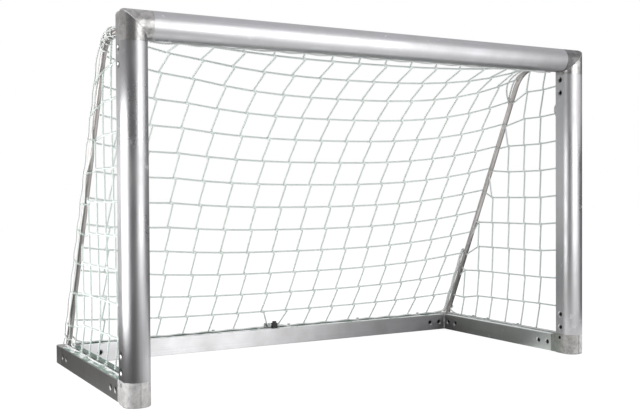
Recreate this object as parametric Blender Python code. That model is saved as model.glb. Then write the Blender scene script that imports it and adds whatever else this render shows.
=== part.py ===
"""Mini soccer goal of oval aluminium profile, with cast corners, a square ground frame, stays and a net.

Metres, +Z up, +Y to the back of the goal. The origin is the middle of the footprint, on the ground.
"""

import math

import bmesh
import bpy
from mathutils import Matrix, Vector

# Driving sizes of the goal
CLEAR_WIDTH = 1.830
CLEAR_HEIGHT = 1.200
FRAME_DEPTH = 0.965
GAP = 0.0003

# Oval profile of the posts and the crossbar: an elliptical nose, then flats set in by a step
PROFILE_WIDTH = 0.094
PROFILE_DEPTH = 0.090
PROFILE_WALL = 0.003
FLAT_LENGTH = 0.047
FLAT_STEP = 0.003
STEP_LENGTH = 0.002
NOSE_SEGMENTS = 12
CHAMBER_SEGMENTS = 8
EDGE_RADIUS = 0.003
EDGE_SEGMENTS = 2

# Net channel in the back of each profile and the top of each ground bar
CHANNEL_MOUTH = 0.012
CHANNEL_WIDTH = 0.022
CHANNEL_DEPTH = 0.016
CHANNEL_LIP = 0.003
CHANNEL_WALL = 0.002

# Square ground bars
BAR_SIZE = 0.075
BAR_WALL = 0.003

# Castings and the spigots that fill the tube ends
SPIGOT_LENGTH = 0.115
HOLLOW_SPARE = 0.010
CAST_WALL = 0.005
TOP_ARM = 0.059
TOP_CORNER_RADIUS = 0.016
TOP_CORNER_SHARE = 0.4
CORNER_SEGMENTS = 3
CORNER_FILLET = 0.006
CORNER_STRAIGHT = 0.001
CORNER_ARM = BAR_SIZE / 2 + CORNER_FILLET + CORNER_STRAIGHT
BAR_HOLLOW_HEIGHT = 0.032
FOOT_HEIGHT = 0.083
FOOT_EDGE = 0.008
FOOT_EDGE_SEGMENTS = 2
FOOT_FLOOR = 0.014
GROOVE_WIDTH = 0.004
GROOVE_DEPTH = 0.002
NECK_LENGTH = 0.037
FOOT_HOLE_DIAMETER = 0.014
FOOT_HOLE_HEIGHT = 0.067
FOOT_HOLE_SETBACK = 0.022
FOOT_HOLE_SEGMENTS = 10

# Countersunk socket screws, and bolts with a head on both faces of what they go through
SCREW_HEAD = 0.020
SCREW_SHANK = 0.010
SCREW_SOCKET = 0.0085
SCREW_SOCKET_DEPTH = 0.004
SCREW_RECESS = 0.0005
SCREW_LENGTH = 0.016
SCREW_HOLE_SPARE = 0.001
SCREW_SETBACK = 0.020
SCREW_PITCH = 0.055
FOOT_SCREW_FIRST = 0.029
TOP_SCREW_FIRST = 0.021
BAR_SCREW_FIRST = 0.025
SCREW_SEGMENTS = 8

# Stays and their grub screws
STAY_DIAMETER = 0.022
STAY_WALL = 0.002
STAY_REACH = 0.310
STAY_BEND_RADIUS = 0.140
STAY_BEND_SEGMENTS = 6
STAY_FOOT_SETBACK = 0.0155
STAY_TOP_SOCKET = 0.016
STAY_FOOT_SOCKET = 0.024
STAY_SEGMENTS = 10
STAY_CUT_LENGTH = 0.060
GRUB_DIAMETER = 0.006
GRUB_RECESS = 0.002
GRUB_SOCKET = 0.003
GRUB_SOCKET_DEPTH = 0.003
GRUB_FOOT_DROP = 0.013

# Net of knotted cord, drawn as flat bars one cord thick
NET_CORD = 0.005
NET_COLUMNS = 15
NET_ROWS = 14
NET_EDGE = 0.022
NET_LEAN = 0.060
NET_SAG_POWER = 2.6
NET_REST = 0.0055
SIDE_FIRST = 0.133
SIDE_PITCH = 0.108
SIDE_ROW_PITCH = 0.117
SIDE_REST = 0.004
NET_STANDOFF = 0.0005
NET_FIRST_BACK = 0.029
NET_FIRST_DROP = 0.013
NET_PULL_HIGH = (0.540, 0.950)
NET_PULL_LOW = (0.600, 0.300)
NET_CURVE_STEPS = 24
NET_STAY_END = 0.120

# Net clips in the ground bars
CLIP_LENGTH = 0.012
CLIP_FOOT_WIDTH = 0.020
CLIP_FOOT_HEIGHT = 0.005
CLIP_NECK_WIDTH = 0.008
CLIP_SEAT = 0.0036
CLIP_WALL_INNER = 0.0029
CLIP_WALL_OUTER = 0.0055
CLIP_LIP_UNDER = 0.0099
CLIP_LIP_TOP = 0.0120
CLIP_LIP_END = 0.0015
REAR_CLIP_MESHES = (1, 4, 7, 10, 13)
SIDE_CLIP_MESHES = (2, 4, 5)

# Cord lock on the rear bar
LOCK_X = -0.027
LOCK_WIDTH = 0.027
LOCK_THICKNESS = 0.018
LOCK_HEIGHT = 0.024
LOCK_EDGE = 0.002
LOCK_SETBACK = 0.0215
LOCK_FLOOR = 0.0025
BUTTON_WIDTH = 0.016
BUTTON_THICKNESS = 0.011
BUTTON_RISE = 0.0075
BUTTON_TRAVEL = 0.005
BUTTON_SOLE = 0.0015
SLOT_WIDTH = 0.0042
SLOT_HEIGHT = 0.009
SLOT_BOTTOM = 0.008
DRAW_CORD = 0.0034
CUT_SPARE = 0.002
SPRING_DIAMETER = 0.0086
SPRING_WIRE = 0.0007
SPRING_TURNS = 3
SPRING_STEPS = 9
SPRING_SIDES = 4

# Worked out from the driving sizes
PROFILE_HALF = PROFILE_WIDTH / 2
FLAT_HALF = PROFILE_HALF - FLAT_STEP
BACK = PROFILE_DEPTH / 2
POST_X = (CLEAR_WIDTH + PROFILE_WIDTH) / 2
POST_Y = (PROFILE_DEPTH - FRAME_DEPTH) / 2
BEAM_Z = CLEAR_HEIGHT + PROFILE_HALF
BAR_HALF = BAR_SIZE / 2
REAR_Y = FRAME_DEPTH / 2 - BAR_HALF
NECK_SEAM = BACK + NECK_LENGTH
STAY_RADIUS = STAY_DIAMETER / 2
STAY_CORNER = Vector((0, POST_Y + STAY_REACH, BEAM_Z))
STAY_LANDING = Vector((0, REAR_Y - STAY_FOOT_SETBACK, BAR_SIZE))
STAY_SLOPE = (STAY_LANDING - STAY_CORNER).normalized()
LOCK_Y = REAR_Y - LOCK_SETBACK
LOCK_Z = BAR_SIZE + GAP

# Angle in degrees up to which the faces of a coarse round piece are shaded as one
ROUND_SHARP = 50

X_AXIS = Vector((1, 0, 0))
Y_AXIS = Vector((0, 1, 0))
Z_AXIS = Vector((0, 0, 1))


def clear_scene():
    for obj in list(bpy.data.objects):
        bpy.data.objects.remove(obj, do_unlink=True)


def make_material(name, color, roughness, metallic):
    material = bpy.data.materials.new(name)
    material.use_nodes = True
    shader = material.node_tree.nodes["Principled BSDF"]
    shader.inputs["Base Color"].default_value = (*color, 1)
    shader.inputs["Roughness"].default_value = roughness
    shader.inputs["Metallic"].default_value = metallic
    return material


def mesh_from(bm, name, sharp=32):
    """Mesh of closed shells facing out, smooth where faces meet at less than the sharp angle."""
    bmesh.ops.remove_doubles(bm, verts=bm.verts[:], dist=1e-5)
    bmesh.ops.recalc_face_normals(bm, faces=bm.faces[:])
    mesh = bpy.data.meshes.new(name)
    bm.to_mesh(mesh)
    bm.free()
    mesh.shade_smooth()
    mesh.set_sharp_from_angle(angle=math.radians(sharp))
    return mesh


def add_object(name, mesh, material, place=None):
    obj = bpy.data.objects.new(name, mesh)
    if material:
        obj.data.materials.clear()
        obj.data.materials.append(material)
    if place:
        obj.matrix_world = place
    bpy.context.scene.collection.objects.link(obj)
    return obj


def frame_at(origin, x_axis, y_axis):
    """Matrix that puts a piece's origin and its local X and Y where they are wanted."""
    z_axis = Vector(x_axis).cross(y_axis)
    columns = Matrix((x_axis, y_axis, z_axis)).transposed()
    return Matrix.Translation(origin) @ columns.to_4x4()


def hide_helper(obj):
    obj.hide_render = True
    obj.display_type = "WIRE"


def add_boolean(obj, other, operation):
    modifier = obj.modifiers.new(other.name, "BOOLEAN")
    modifier.operation = operation
    modifier.object = other
    modifier.solver = "EXACT"


def cut(obj, bm):
    """Cuts the closed shells in bm, given in world space, from obj."""
    cutter = add_object(obj.name + "_cuts", mesh_from(bm, obj.name + "_cuts"), None)
    hide_helper(cutter)
    add_boolean(obj, cutter, "DIFFERENCE")


def add_ring(bm, points):
    return [bm.verts.new(point) for point in points]


def bridge(bm, first, second):
    """Quads between two rings that have as many points each."""
    count = len(first)
    for index in range(count):
        after = (index + 1) % count
        bm.faces.new((first[index], first[after], second[after], second[index]))


def fill(bm, *rings):
    """Flat face inside the first ring and outside the others."""
    edges = []
    for ring in rings:
        for index, vert in enumerate(ring):
            pair = (ring[index - 1], vert)
            edges.append(bm.edges.get(pair) or bm.edges.new(pair))
    bmesh.ops.triangle_fill(bm, use_beauty=True, edges=edges)


def raised(outline, height):
    return [(u, v, height) for u, v in outline]


def arc(center, radius, start, end, segments):
    """Points on an arc, in degrees."""
    points = []
    for index in range(segments + 1):
        angle = math.radians(start + (end - start) * index / segments)
        points.append((center[0] + radius * math.cos(angle), center[1] + radius * math.sin(angle)))
    return points


def channel_notch(back):
    """Half of the channel's outline, from its mouth to its floor, in a face at v = back."""
    mouth = CHANNEL_MOUTH / 2
    half = CHANNEL_WIDTH / 2
    return [
        (mouth, back),
        (mouth, back - CHANNEL_LIP),
        (half, back - CHANNEL_LIP),
        (half, back - CHANNEL_DEPTH),
    ]


def mirrored(half_outline):
    """The half outline, then its mirror image in u, so that the whole stays one loop."""
    return half_outline + [(-u, v) for u, v in reversed(half_outline)]


def oval_nose(half, depth, segments):
    """Right half of the nose, from just off its tip to its widest point."""
    front = BACK - FLAT_LENGTH
    points = []
    for index in range(1, segments // 2 + 1):
        angle = math.pi * index / segments
        points.append((half * math.sin(angle), front - depth * math.cos(angle)))
    return points


def oval_outline(channel=False, groove=False):
    """Outside of the oval profile as (u, v) points, its nose at -v and its back at +v."""
    nose = PROFILE_DEPTH - FLAT_LENGTH
    half = oval_nose(PROFILE_HALF, nose, NOSE_SEGMENTS)
    half.append((FLAT_HALF, BACK - FLAT_LENGTH + STEP_LENGTH))
    half += arc((FLAT_HALF - EDGE_RADIUS, BACK - EDGE_RADIUS), EDGE_RADIUS, 0, 90, EDGE_SEGMENTS)
    if channel:
        half += channel_notch(BACK)
    outline = mirrored(half)
    if groove:
        side = GROOVE_WIDTH / 2
        outline += [(-side, -BACK), (-side, GROOVE_DEPTH - BACK)]
        outline += [(side, GROOVE_DEPTH - BACK), (side, -BACK)]
    else:
        outline.append((0, -BACK))
    return outline


def bump(inset, wall, back):
    """Half of the chamber's step round the channel, for an outline that lies inset inside."""
    extra = inset - wall
    half = CHANNEL_WIDTH / 2 + CHANNEL_WALL + extra
    return [(half, back - inset), (half, back - CHANNEL_DEPTH - CHANNEL_WALL - extra)]


def oval_chamber(inset):
    """Inside of the profile, or the outside of what slides into it."""
    half = oval_nose(FLAT_HALF - inset, PROFILE_DEPTH - FLAT_LENGTH - inset, CHAMBER_SEGMENTS)
    half.append((FLAT_HALF - inset, BACK - inset))
    half += bump(inset, PROFILE_WALL, BACK)
    return mirrored(half) + [(0, inset - BACK)]


def oval_hollow():
    """Hollow of a casting: as the nose in front, and flat ahead of the channel."""
    inset = PROFILE_WALL + GAP + CAST_WALL
    half = oval_nose(FLAT_HALF - inset, PROFILE_DEPTH - FLAT_LENGTH - inset, CHAMBER_SEGMENTS)
    half.append((FLAT_HALF - inset, bump(inset, PROFILE_WALL, BACK)[1][1]))
    return mirrored(half) + [(0, inset - BACK)]


def bar_outline(channel=False):
    """Outside of the square bar, its channel at +v."""
    corner = BAR_HALF - EDGE_RADIUS
    half = arc((corner, -corner), EDGE_RADIUS, -90, 0, EDGE_SEGMENTS)
    half += arc((corner, corner), EDGE_RADIUS, 0, 90, EDGE_SEGMENTS)
    if channel:
        half += channel_notch(BAR_HALF)
    return mirrored(half)


def bar_chamber(inset):
    half = [(BAR_HALF - inset, inset - BAR_HALF), (BAR_HALF - inset, BAR_HALF - inset)]
    return mirrored(half + bump(inset, BAR_WALL, BAR_HALF))


def bar_hollow():
    """Hollow of a ground casting, low in it, so that metal is left above for the stay."""
    inset = BAR_WALL + GAP + CAST_WALL
    low = inset - BAR_HALF
    half = [(BAR_HALF - inset, low), (BAR_HALF - inset, low + BAR_HOLLOW_HEIGHT)]
    return mirrored(half)


def tube_mesh(name, outline, chamber, length):
    """Extruded profile with its hollow, from z = 0 up."""
    bm = bmesh.new()
    outer = [add_ring(bm, raised(outline, z)) for z in (0, length)]
    inner = [add_ring(bm, raised(chamber, z)) for z in (0, length)]
    bridge(bm, *outer)
    bridge(bm, *inner)
    fill(bm, outer[0], inner[0])
    fill(bm, outer[1], inner[1])
    return mesh_from(bm, name)


def elbow_mesh(name, outline, spigot, hollow, arm, radius_at):
    """Mitred corner with a spigot on each arm, hollow right through.

    Arm one runs along local X and arm two along local Y. In an outline u points to the inside of the corner
    and v along local Z. radius_at gives the rounding of the corner at u.
    """
    bm = bmesh.new()
    reach = arm + SPIGOT_LENGTH

    def on_first(points, s):
        return add_ring(bm, [(s, u, v) for u, v in points])

    def on_second(points, s):
        return add_ring(bm, [(u, s, v) for u, v in points])

    rings = [on_first(outline, arm)]
    for step in range(CORNER_SEGMENTS + 1):
        angle = math.radians(90 * step / CORNER_SEGMENTS)
        points = []
        for u, v in outline:
            radius = radius_at(u)
            center = u + radius
            points.append((center - radius * math.sin(angle), center - radius * math.cos(angle), v))
        rings.append(add_ring(bm, points))
    rings.append(on_second(outline, arm))
    for first, second in zip(rings, rings[1:]):
        bridge(bm, first, second)
    middle = add_ring(bm, [(u, u, v) for u, v in hollow])
    for ring_on, seam in ((on_first, rings[0]), (on_second, rings[-1])):
        spigot_start = ring_on(spigot, arm)
        spigot_end = ring_on(spigot, reach)
        hollow_end = ring_on(hollow, reach)
        fill(bm, seam, spigot_start)
        bridge(bm, spigot_start, spigot_end)
        fill(bm, spigot_end, hollow_end)
        bridge(bm, hollow_end, middle)
    return mesh_from(bm, name)


def top_radius(u):
    """Rounding of a top corner, which fades out short of the mitre's middle."""
    share = (-u / PROFILE_HALF - 1 + TOP_CORNER_SHARE) / TOP_CORNER_SHARE
    return TOP_CORNER_RADIUS * min(max(share, 0), 1)


def corner_radius(u):
    return CORNER_FILLET


def foot_post_mesh():
    """Foot under the post with the spigot that fills the post's end."""
    bm = bmesh.new()
    outline = oval_outline(groove=True)
    rings = []
    for step in range(FOOT_EDGE_SEGMENTS + 1):
        angle = math.radians(90 * step / FOOT_EDGE_SEGMENTS)
        scale = 1 - FOOT_EDGE * (1 - math.sin(angle)) / PROFILE_HALF
        scaled = [(u * scale, v * scale) for u, v in outline]
        rings.append(add_ring(bm, raised(scaled, FOOT_EDGE * (1 - math.cos(angle)))))
    rings.append(add_ring(bm, raised(outline, FOOT_HEIGHT)))
    for first, second in zip(rings, rings[1:]):
        bridge(bm, first, second)
    spigot = oval_chamber(PROFILE_WALL + GAP)
    start = add_ring(bm, raised(spigot, FOOT_HEIGHT))
    end = add_ring(bm, raised(spigot, FOOT_HEIGHT + SPIGOT_LENGTH))
    fill(bm, rings[0])
    fill(bm, rings[-1], start)
    bridge(bm, start, end)
    fill(bm, end)
    return mesh_from(bm, "foot")


def neck_mesh():
    """Neck from the foot to the side bar, along local Y, with the spigot for the bar."""
    bm = bmesh.new()

    def at(outline, y):
        return add_ring(bm, [(u, y, v + BAR_HALF) for u, v in outline])

    spigot = bar_chamber(BAR_WALL + GAP)
    rings = [at(bar_outline(), BACK / 2), at(bar_outline(), NECK_SEAM)]
    rings += [at(spigot, NECK_SEAM), at(spigot, NECK_SEAM + SPIGOT_LENGTH)]
    bridge(bm, rings[0], rings[1])
    bridge(bm, rings[2], rings[3])
    fill(bm, rings[0])
    fill(bm, rings[1], rings[2])
    fill(bm, rings[3])
    return mesh_from(bm, "foot_neck")


def foot_hollow_mesh():
    """Hollow of the foot: one prism up through the post's spigot and one back through the bar's."""
    bm = bmesh.new()
    bottom = add_ring(bm, raised(oval_hollow(), FOOT_FLOOR))
    top = add_ring(bm, raised(oval_hollow(), FOOT_HEIGHT + SPIGOT_LENGTH + HOLLOW_SPARE))
    bridge(bm, bottom, top)
    fill(bm, bottom)
    fill(bm, top)
    front = add_ring(bm, [(u, 0, v + BAR_HALF) for u, v in bar_hollow()])
    back = add_ring(bm, [(u, NECK_SEAM + SPIGOT_LENGTH + HOLLOW_SPARE, v + BAR_HALF) for u, v in bar_hollow()])
    bridge(bm, front, back)
    fill(bm, front)
    fill(bm, back)
    return mesh_from(bm, "foot_hollow")


def turned(bm, profile, segments, place):
    """Closed turned body from (radius, height) points that start and end on the axis."""
    rings = []
    for radius, height in profile[1:-1]:
        points = []
        for index in range(segments):
            angle = 2 * math.pi * (index + 0.5) / segments
            points.append(place @ Vector((radius * math.cos(angle), radius * math.sin(angle), height)))
        rings.append(add_ring(bm, points))
    for first, second in zip(rings, rings[1:]):
        bridge(bm, first, second)
    bm.faces.new(rings[0])
    bm.faces.new(rings[-1])


def rod(bm, start, end, radius, segments):
    """Plain cylinder between two points, along X or across it."""
    axis = (end - start).normalized()
    side = Y_AXIS if abs(axis.x) > 0.5 else X_AXIS
    place = frame_at(start, side, axis.cross(side))
    length = (end - start).length
    turned(bm, [(0, 0), (radius, 0), (radius, length), (0, length)], segments, place)


def screw_profile(length, through):
    """Countersunk screw from z = 0 along -Z. A through bolt has a head at -length too."""
    head = SCREW_HEAD / 2
    shank = SCREW_SHANK / 2
    socket = SCREW_SOCKET / 2
    top = -SCREW_RECESS
    near = [
        (0, top - SCREW_SOCKET_DEPTH),
        (socket, top - SCREW_SOCKET_DEPTH),
        (socket, top),
        (head, top),
        (shank, top - head + shank),
    ]
    if through:
        return near + [(radius, -length - height) for radius, height in reversed(near)]
    return near + [(shank, -length), (0, -length)]


def screw_cut_profile(length, through):
    """Hole for a screw or bolt, one gap larger all round."""
    head = SCREW_HEAD / 2 + GAP
    shank = SCREW_SHANK / 2 + GAP
    top = -SCREW_RECESS - GAP * (math.sqrt(2) - 1)
    near = [(0, CUT_SPARE), (head, CUT_SPARE), (head, top), (shank, top - head + shank)]
    if through:
        return near + [(radius, -length - height) for radius, height in reversed(near)]
    deep = length + SCREW_HOLE_SPARE
    return near + [(shank, -deep), (0, -deep)]


def screw_places():
    """For each screw or bolt: name, place with Z out of the face, form and the pieces it joins."""
    post_bolt = (2 * FLAT_HALF, True)
    bar_bolt = (BAR_SIZE, True)
    screw = (SCREW_LENGTH, False)
    screws = []
    for side, sign in (("left", -1), ("right", 1)):
        out = Vector((-sign, 0, 0))
        inner = sign * (POST_X - FLAT_HALF)
        face = sign * (POST_X - BAR_HALF)
        top_seam = BEAM_Z - TOP_ARM
        foot = f"foot_{side}"
        top = f"top_corner_{side}"
        rear = f"rear_corner_{side}"
        post = f"{side}_post"
        bar = f"side_bar_{side}"
        for number in range(2):
            step = number * SCREW_PITCH
            y = POST_Y + SCREW_SETBACK
            low = Vector((inner, y, FOOT_HEIGHT + FOOT_SCREW_FIRST + step))
            screws.append((f"foot_bolt_{side}", number, low, out, post_bolt, post, foot))
            high = Vector((inner, y, top_seam - TOP_SCREW_FIRST - step))
            screws.append((f"post_bolt_{side}", number, high, out, post_bolt, post, top))
            beam = Vector((sign * (POST_X - TOP_ARM - BAR_SCREW_FIRST - step), y, BEAM_Z - FLAT_HALF))
            screws.append((f"crossbar_screw_{side}", number, beam, -Z_AXIS, screw, "crossbar", top))
            front = Vector((face, POST_Y + NECK_SEAM + BAR_SCREW_FIRST + step, BAR_HALF))
            screws.append((f"neck_bolt_{side}", number, front, out, bar_bolt, bar, foot))
            back = Vector((face, REAR_Y - CORNER_ARM - BAR_SCREW_FIRST - step, BAR_HALF))
            screws.append((f"side_bar_bolt_{side}", number, back, out, bar_bolt, bar, rear))
            x = sign * (POST_X - CORNER_ARM - BAR_SCREW_FIRST - step)
            across = Vector((x, REAR_Y - BAR_HALF, BAR_HALF))
            screws.append((f"rear_bar_screw_{side}", number, across, -Y_AXIS, screw, "rear_bar", rear))
    placed = []
    for name, number, center, out, form, tube, casting in screws:
        side = Z_AXIS if abs(out.z) < 0.5 else Y_AXIS
        place = frame_at(center, side, out.cross(side))
        placed.append((f"{name}_{number + 1}", place, form, tube, casting))
    return placed


def stay_bend():
    """Centre of a stay's bend and the angle it turns through."""
    turn = math.acos(STAY_SLOPE.dot(Y_AXIS))
    tangent = STAY_BEND_RADIUS * math.tan(turn / 2)
    return STAY_CORNER - Y_AXIS * tangent - Z_AXIS * STAY_BEND_RADIUS, turn


def bend_out(angle):
    """Direction out from the bend's centre."""
    return Vector((0, math.sin(angle), math.cos(angle)))


def stay_route(x):
    """Centre line of a stay: level out of the top casting, round one bend, then down into the rear corner."""
    center, turn = stay_bend()
    points = [Vector((0, POST_Y + BACK - STAY_TOP_SOCKET, BEAM_Z))]
    directions = [Y_AXIS]
    for step in range(STAY_BEND_SEGMENTS + 1):
        angle = turn * step / STAY_BEND_SEGMENTS
        points.append(center + STAY_BEND_RADIUS * bend_out(angle))
        directions.append(Vector((0, math.cos(angle), -math.sin(angle))))
    points.append(STAY_LANDING + STAY_SLOPE * STAY_FOOT_SOCKET)
    directions.append(STAY_SLOPE)
    return [point + X_AXIS * x for point in points], directions


def stay_mesh():
    bm = bmesh.new()
    points, directions = stay_route(0)
    tubes = []
    for radius in (STAY_RADIUS, STAY_RADIUS - STAY_WALL):
        rings = []
        for point, direction in zip(points, directions):
            place = frame_at(point, X_AXIS, direction.cross(X_AXIS))
            circle = arc((0, 0), radius, 180 / STAY_SEGMENTS, 360 + 180 / STAY_SEGMENTS, STAY_SEGMENTS)[:-1]
            rings.append(add_ring(bm, [place @ Vector((u, v, 0)) for u, v in circle]))
        for first, second in zip(rings, rings[1:]):
            bridge(bm, first, second)
        tubes.append(rings)
    fill(bm, tubes[0][0], tubes[1][0])
    fill(bm, tubes[0][-1], tubes[1][-1])
    return mesh_from(bm, "stay", ROUND_SHARP)


def grub_places(x):
    """Grub screws that hold a stay: one down through the top casting, one forward through the rear corner."""
    top = Vector((x, POST_Y + BACK - STAY_TOP_SOCKET / 2, BEAM_Z + FLAT_HALF))
    top_length = FLAT_HALF - STAY_RADIUS - GAP
    height = BAR_SIZE - GRUB_FOOT_DROP
    axis_y = STAY_LANDING.y - GRUB_FOOT_DROP * STAY_SLOPE.y / STAY_SLOPE.z
    foot = Vector((x, REAR_Y + BAR_HALF, height))
    reach = STAY_RADIUS / -STAY_SLOPE.z
    lean = GRUB_DIAMETER / 2 * STAY_SLOPE.y / -STAY_SLOPE.z
    foot_length = foot.y - axis_y - reach - lean - GAP
    return (
        (frame_at(top, X_AXIS, Y_AXIS), top_length),
        (frame_at(foot, Z_AXIS, X_AXIS), foot_length),
    )


def grub_profile(length):
    radius = GRUB_DIAMETER / 2
    socket = GRUB_SOCKET / 2
    top = -GRUB_RECESS
    floor = top - GRUB_SOCKET_DEPTH
    return [(0, floor), (socket, floor), (socket, top), (radius, top), (radius, -length), (0, -length)]


def along(points, share):
    """Point at a share of the length of a chain of points."""
    lengths = [(b - a).length for a, b in zip(points, points[1:])]
    left = share * sum(lengths)
    for start, end, length in zip(points, points[1:], lengths):
        if left <= length:
            return start.lerp(end, left / length)
        left -= length
    return points[-1]


def bezier(points, share):
    """Point on a cubic curve."""
    a, b, c, d = points
    rest = 1 - share
    return a * rest**3 + b * 3 * rest**2 * share + c * 3 * rest * share**2 + d * share**3


def net_middle():
    """The back panel's line down its middle: from the crossbar's channel in a slack curve to the rear bar."""
    start = Vector((0, POST_Y + BACK + NET_STANDOFF + NET_CORD / 2, BEAM_Z - CHANNEL_MOUTH))
    first = Vector((0, POST_Y + BACK + NET_FIRST_BACK, CLEAR_HEIGHT - NET_FIRST_DROP))
    end = Vector((0, REAR_Y + NET_STANDOFF, BAR_SIZE + NET_REST))
    pulls = [Vector((0, POST_Y + back, height)) for back, height in (NET_PULL_HIGH, NET_PULL_LOW)]
    curve = [bezier((first, *pulls, end), step / NET_CURVE_STEPS) for step in range(NET_CURVE_STEPS + 1)]
    return [start] + curve


def net_side():
    """The back panel's line along each stay."""
    points, _ = stay_route(0)
    start = Vector((0, POST_Y + BACK + NET_STANDOFF + NET_CORD / 2, BEAM_Z))
    end = Vector((0, REAR_Y + NET_STANDOFF, BAR_SIZE + NET_REST))
    return [start] + points[1:-1] + [STAY_LANDING - STAY_SLOPE * NET_STAY_END, end]


def back_column(across, share):
    """X of a line down the back panel, which leans to the right as it comes down."""
    return (POST_X - NET_EDGE) * across + NET_LEAN * share * (1 - across**4)


def side_columns():
    """Y of each upright line of a side panel, from the post to past the rear bar."""
    front = POST_Y + BACK + NET_STANDOFF
    columns = [front, front + SIDE_FIRST]
    while columns[-1] < REAR_Y:
        columns.append(columns[-1] + SIDE_PITCH)
    return columns


def net_back_mesh():
    """Back panel: square meshes hung from the crossbar, drawn back along the stays and slack between them."""
    bm = bmesh.new()
    middle = net_middle()
    side = net_side()
    grid = []
    for row in range(NET_ROWS + 1):
        share = row / NET_ROWS
        hung = along(middle, share)
        held = along(side, share)
        line = []
        for column in range(NET_COLUMNS + 1):
            across = 2 * column / NET_COLUMNS - 1
            point = hung.lerp(held, abs(across) ** NET_SAG_POWER)
            point.x = back_column(across, share)
            line.append(bm.verts.new(point))
        grid.append(line)
    for upper, lower in zip(grid, grid[1:]):
        for column in range(NET_COLUMNS):
            bm.faces.new((upper[column], upper[column + 1], lower[column + 1], lower[column]))
    return open_meshes(bm, "net_back")


def net_side_mesh():
    """Side panel in the plane of a post, cut off along the stay. Local X is 0 in that plane."""
    bm = bmesh.new()
    bottom = BAR_SIZE + SIDE_REST
    top = BEAM_Z - STAY_RADIUS - NET_STANDOFF
    columns = side_columns()
    rows = [bottom]
    while rows[-1] + SIDE_ROW_PITCH < top:
        rows.append(rows[-1] + SIDE_ROW_PITCH)
    rows[-1] = top
    grid = [[bm.verts.new((0, y, z)) for y in columns] for z in rows]
    for lower, upper in zip(grid, grid[1:]):
        for index in range(len(columns) - 1):
            bm.faces.new((lower[index], lower[index + 1], upper[index + 1], upper[index]))
    outward = Vector((0, -STAY_SLOPE.z, STAY_SLOPE.y))
    planes = [(STAY_LANDING - outward * (STAY_RADIUS + NET_STANDOFF), outward)]
    center, turn = stay_bend()
    step = turn / STAY_BEND_SEGMENTS
    inside = STAY_BEND_RADIUS * math.cos(step / 2) - STAY_RADIUS - NET_STANDOFF
    for number in range(STAY_BEND_SEGMENTS):
        normal = bend_out(step * (number + 0.5))
        planes.append((center + normal * inside, normal))
    for point, normal in planes:
        everything = bm.verts[:] + bm.edges[:] + bm.faces[:]
        bmesh.ops.bisect_plane(bm, geom=everything, plane_co=point, plane_no=normal, clear_outer=True)
    join_small_faces(bm, SIDE_PITCH * SIDE_ROW_PITCH * 0.3)
    return open_meshes(bm, "net_side")


def join_small_faces(bm, least):
    """Joins each face that is under the least area to the neighbour along its longest edge."""
    while True:
        small = [face for face in bm.faces if face.calc_area() < least]
        if not small:
            return
        face = min(small, key=lambda one: one.calc_area())
        inner = [edge for edge in face.edges if len(edge.link_faces) == 2]
        longest = max(inner, key=lambda one: one.calc_length())
        bmesh.ops.dissolve_edges(bm, edges=[longest], use_verts=False)


def open_meshes(bm, name):
    """Leaves each face of the grid as a frame of cord round an open mesh."""
    bmesh.ops.recalc_face_normals(bm, faces=bm.faces[:])
    cells = bm.faces[:]
    bmesh.ops.inset_individual(bm, faces=cells, thickness=NET_CORD / 2, use_even_offset=True)
    bmesh.ops.delete(bm, geom=cells, context="FACES")
    return mesh_from(bm, name)


def add_net(name, mesh, material, x):
    net = add_object(name, mesh, material, Matrix.Translation((x, 0, 0)))
    solid = net.modifiers.new("cord", "SOLIDIFY")
    solid.thickness = NET_CORD
    solid.offset = 0
    solid.use_even_offset = False
    return net


def clip_mesh():
    """Net clip: a foot in the channel, a neck through its mouth and a hook over the border cord."""
    foot = CLIP_FOOT_WIDTH / 2
    neck = CLIP_NECK_WIDTH / 2
    under = -CHANNEL_LIP - GAP
    outline = [
        (-foot, under - CLIP_FOOT_HEIGHT),
        (foot, under - CLIP_FOOT_HEIGHT),
        (foot, under),
        (neck, under),
        (neck, GAP),
        (CLIP_WALL_OUTER, GAP),
        (CLIP_WALL_OUTER, CLIP_LIP_TOP),
        (-CLIP_LIP_END, CLIP_LIP_TOP),
        (-CLIP_LIP_END, CLIP_LIP_UNDER),
        (CLIP_WALL_INNER, CLIP_LIP_UNDER),
        (CLIP_WALL_INNER, CLIP_SEAT),
        (-neck, CLIP_SEAT),
        (-neck, under),
        (-foot, under),
    ]
    bm = bmesh.new()
    rings = [add_ring(bm, raised(outline, z)) for z in (-CLIP_LENGTH / 2, CLIP_LENGTH / 2)]
    bridge(bm, *rings)
    fill(bm, rings[0])
    fill(bm, rings[1])
    return mesh_from(bm, "net_clip")


def clip_places():
    """Where the clips sit on the ground bars, at the middle of a mesh, each hook open to the inside."""
    places = []
    for number, mesh in enumerate(REAR_CLIP_MESHES):
        x = back_column((2 * mesh + 1) / NET_COLUMNS - 1, 1)
        places.append((f"rear_clip_{number + 1}", frame_at((x, REAR_Y, BAR_SIZE), Y_AXIS, Z_AXIS)))
    columns = side_columns()
    for side, sign in (("left", -1), ("right", 1)):
        for number, mesh in enumerate(SIDE_CLIP_MESHES):
            y = (columns[mesh] + columns[mesh + 1]) / 2
            place = frame_at((sign * POST_X, y, BAR_SIZE), X_AXIS * sign, Z_AXIS)
            places.append((f"side_clip_{side}_{number + 1}", place))
    return places


def add_box(bm, center, size):
    place = Matrix.Translation(center) @ Matrix.Diagonal((*size, 1))
    bmesh.ops.create_cube(bm, size=1, matrix=place)


def rounded_block_mesh(name, size, edge):
    """Block that stands on z = 0, with its upright edges and its top edge rounded."""
    bm = bmesh.new()
    add_box(bm, (0, 0, size[2] / 2), size)
    sharp = [one for one in bm.edges if max(vert.co.z for vert in one.verts) > 0.0001]
    bmesh.ops.bevel(bm, geom=sharp, offset=edge, segments=2, profile=0.5, affect="EDGES")
    return mesh_from(bm, name)


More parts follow.
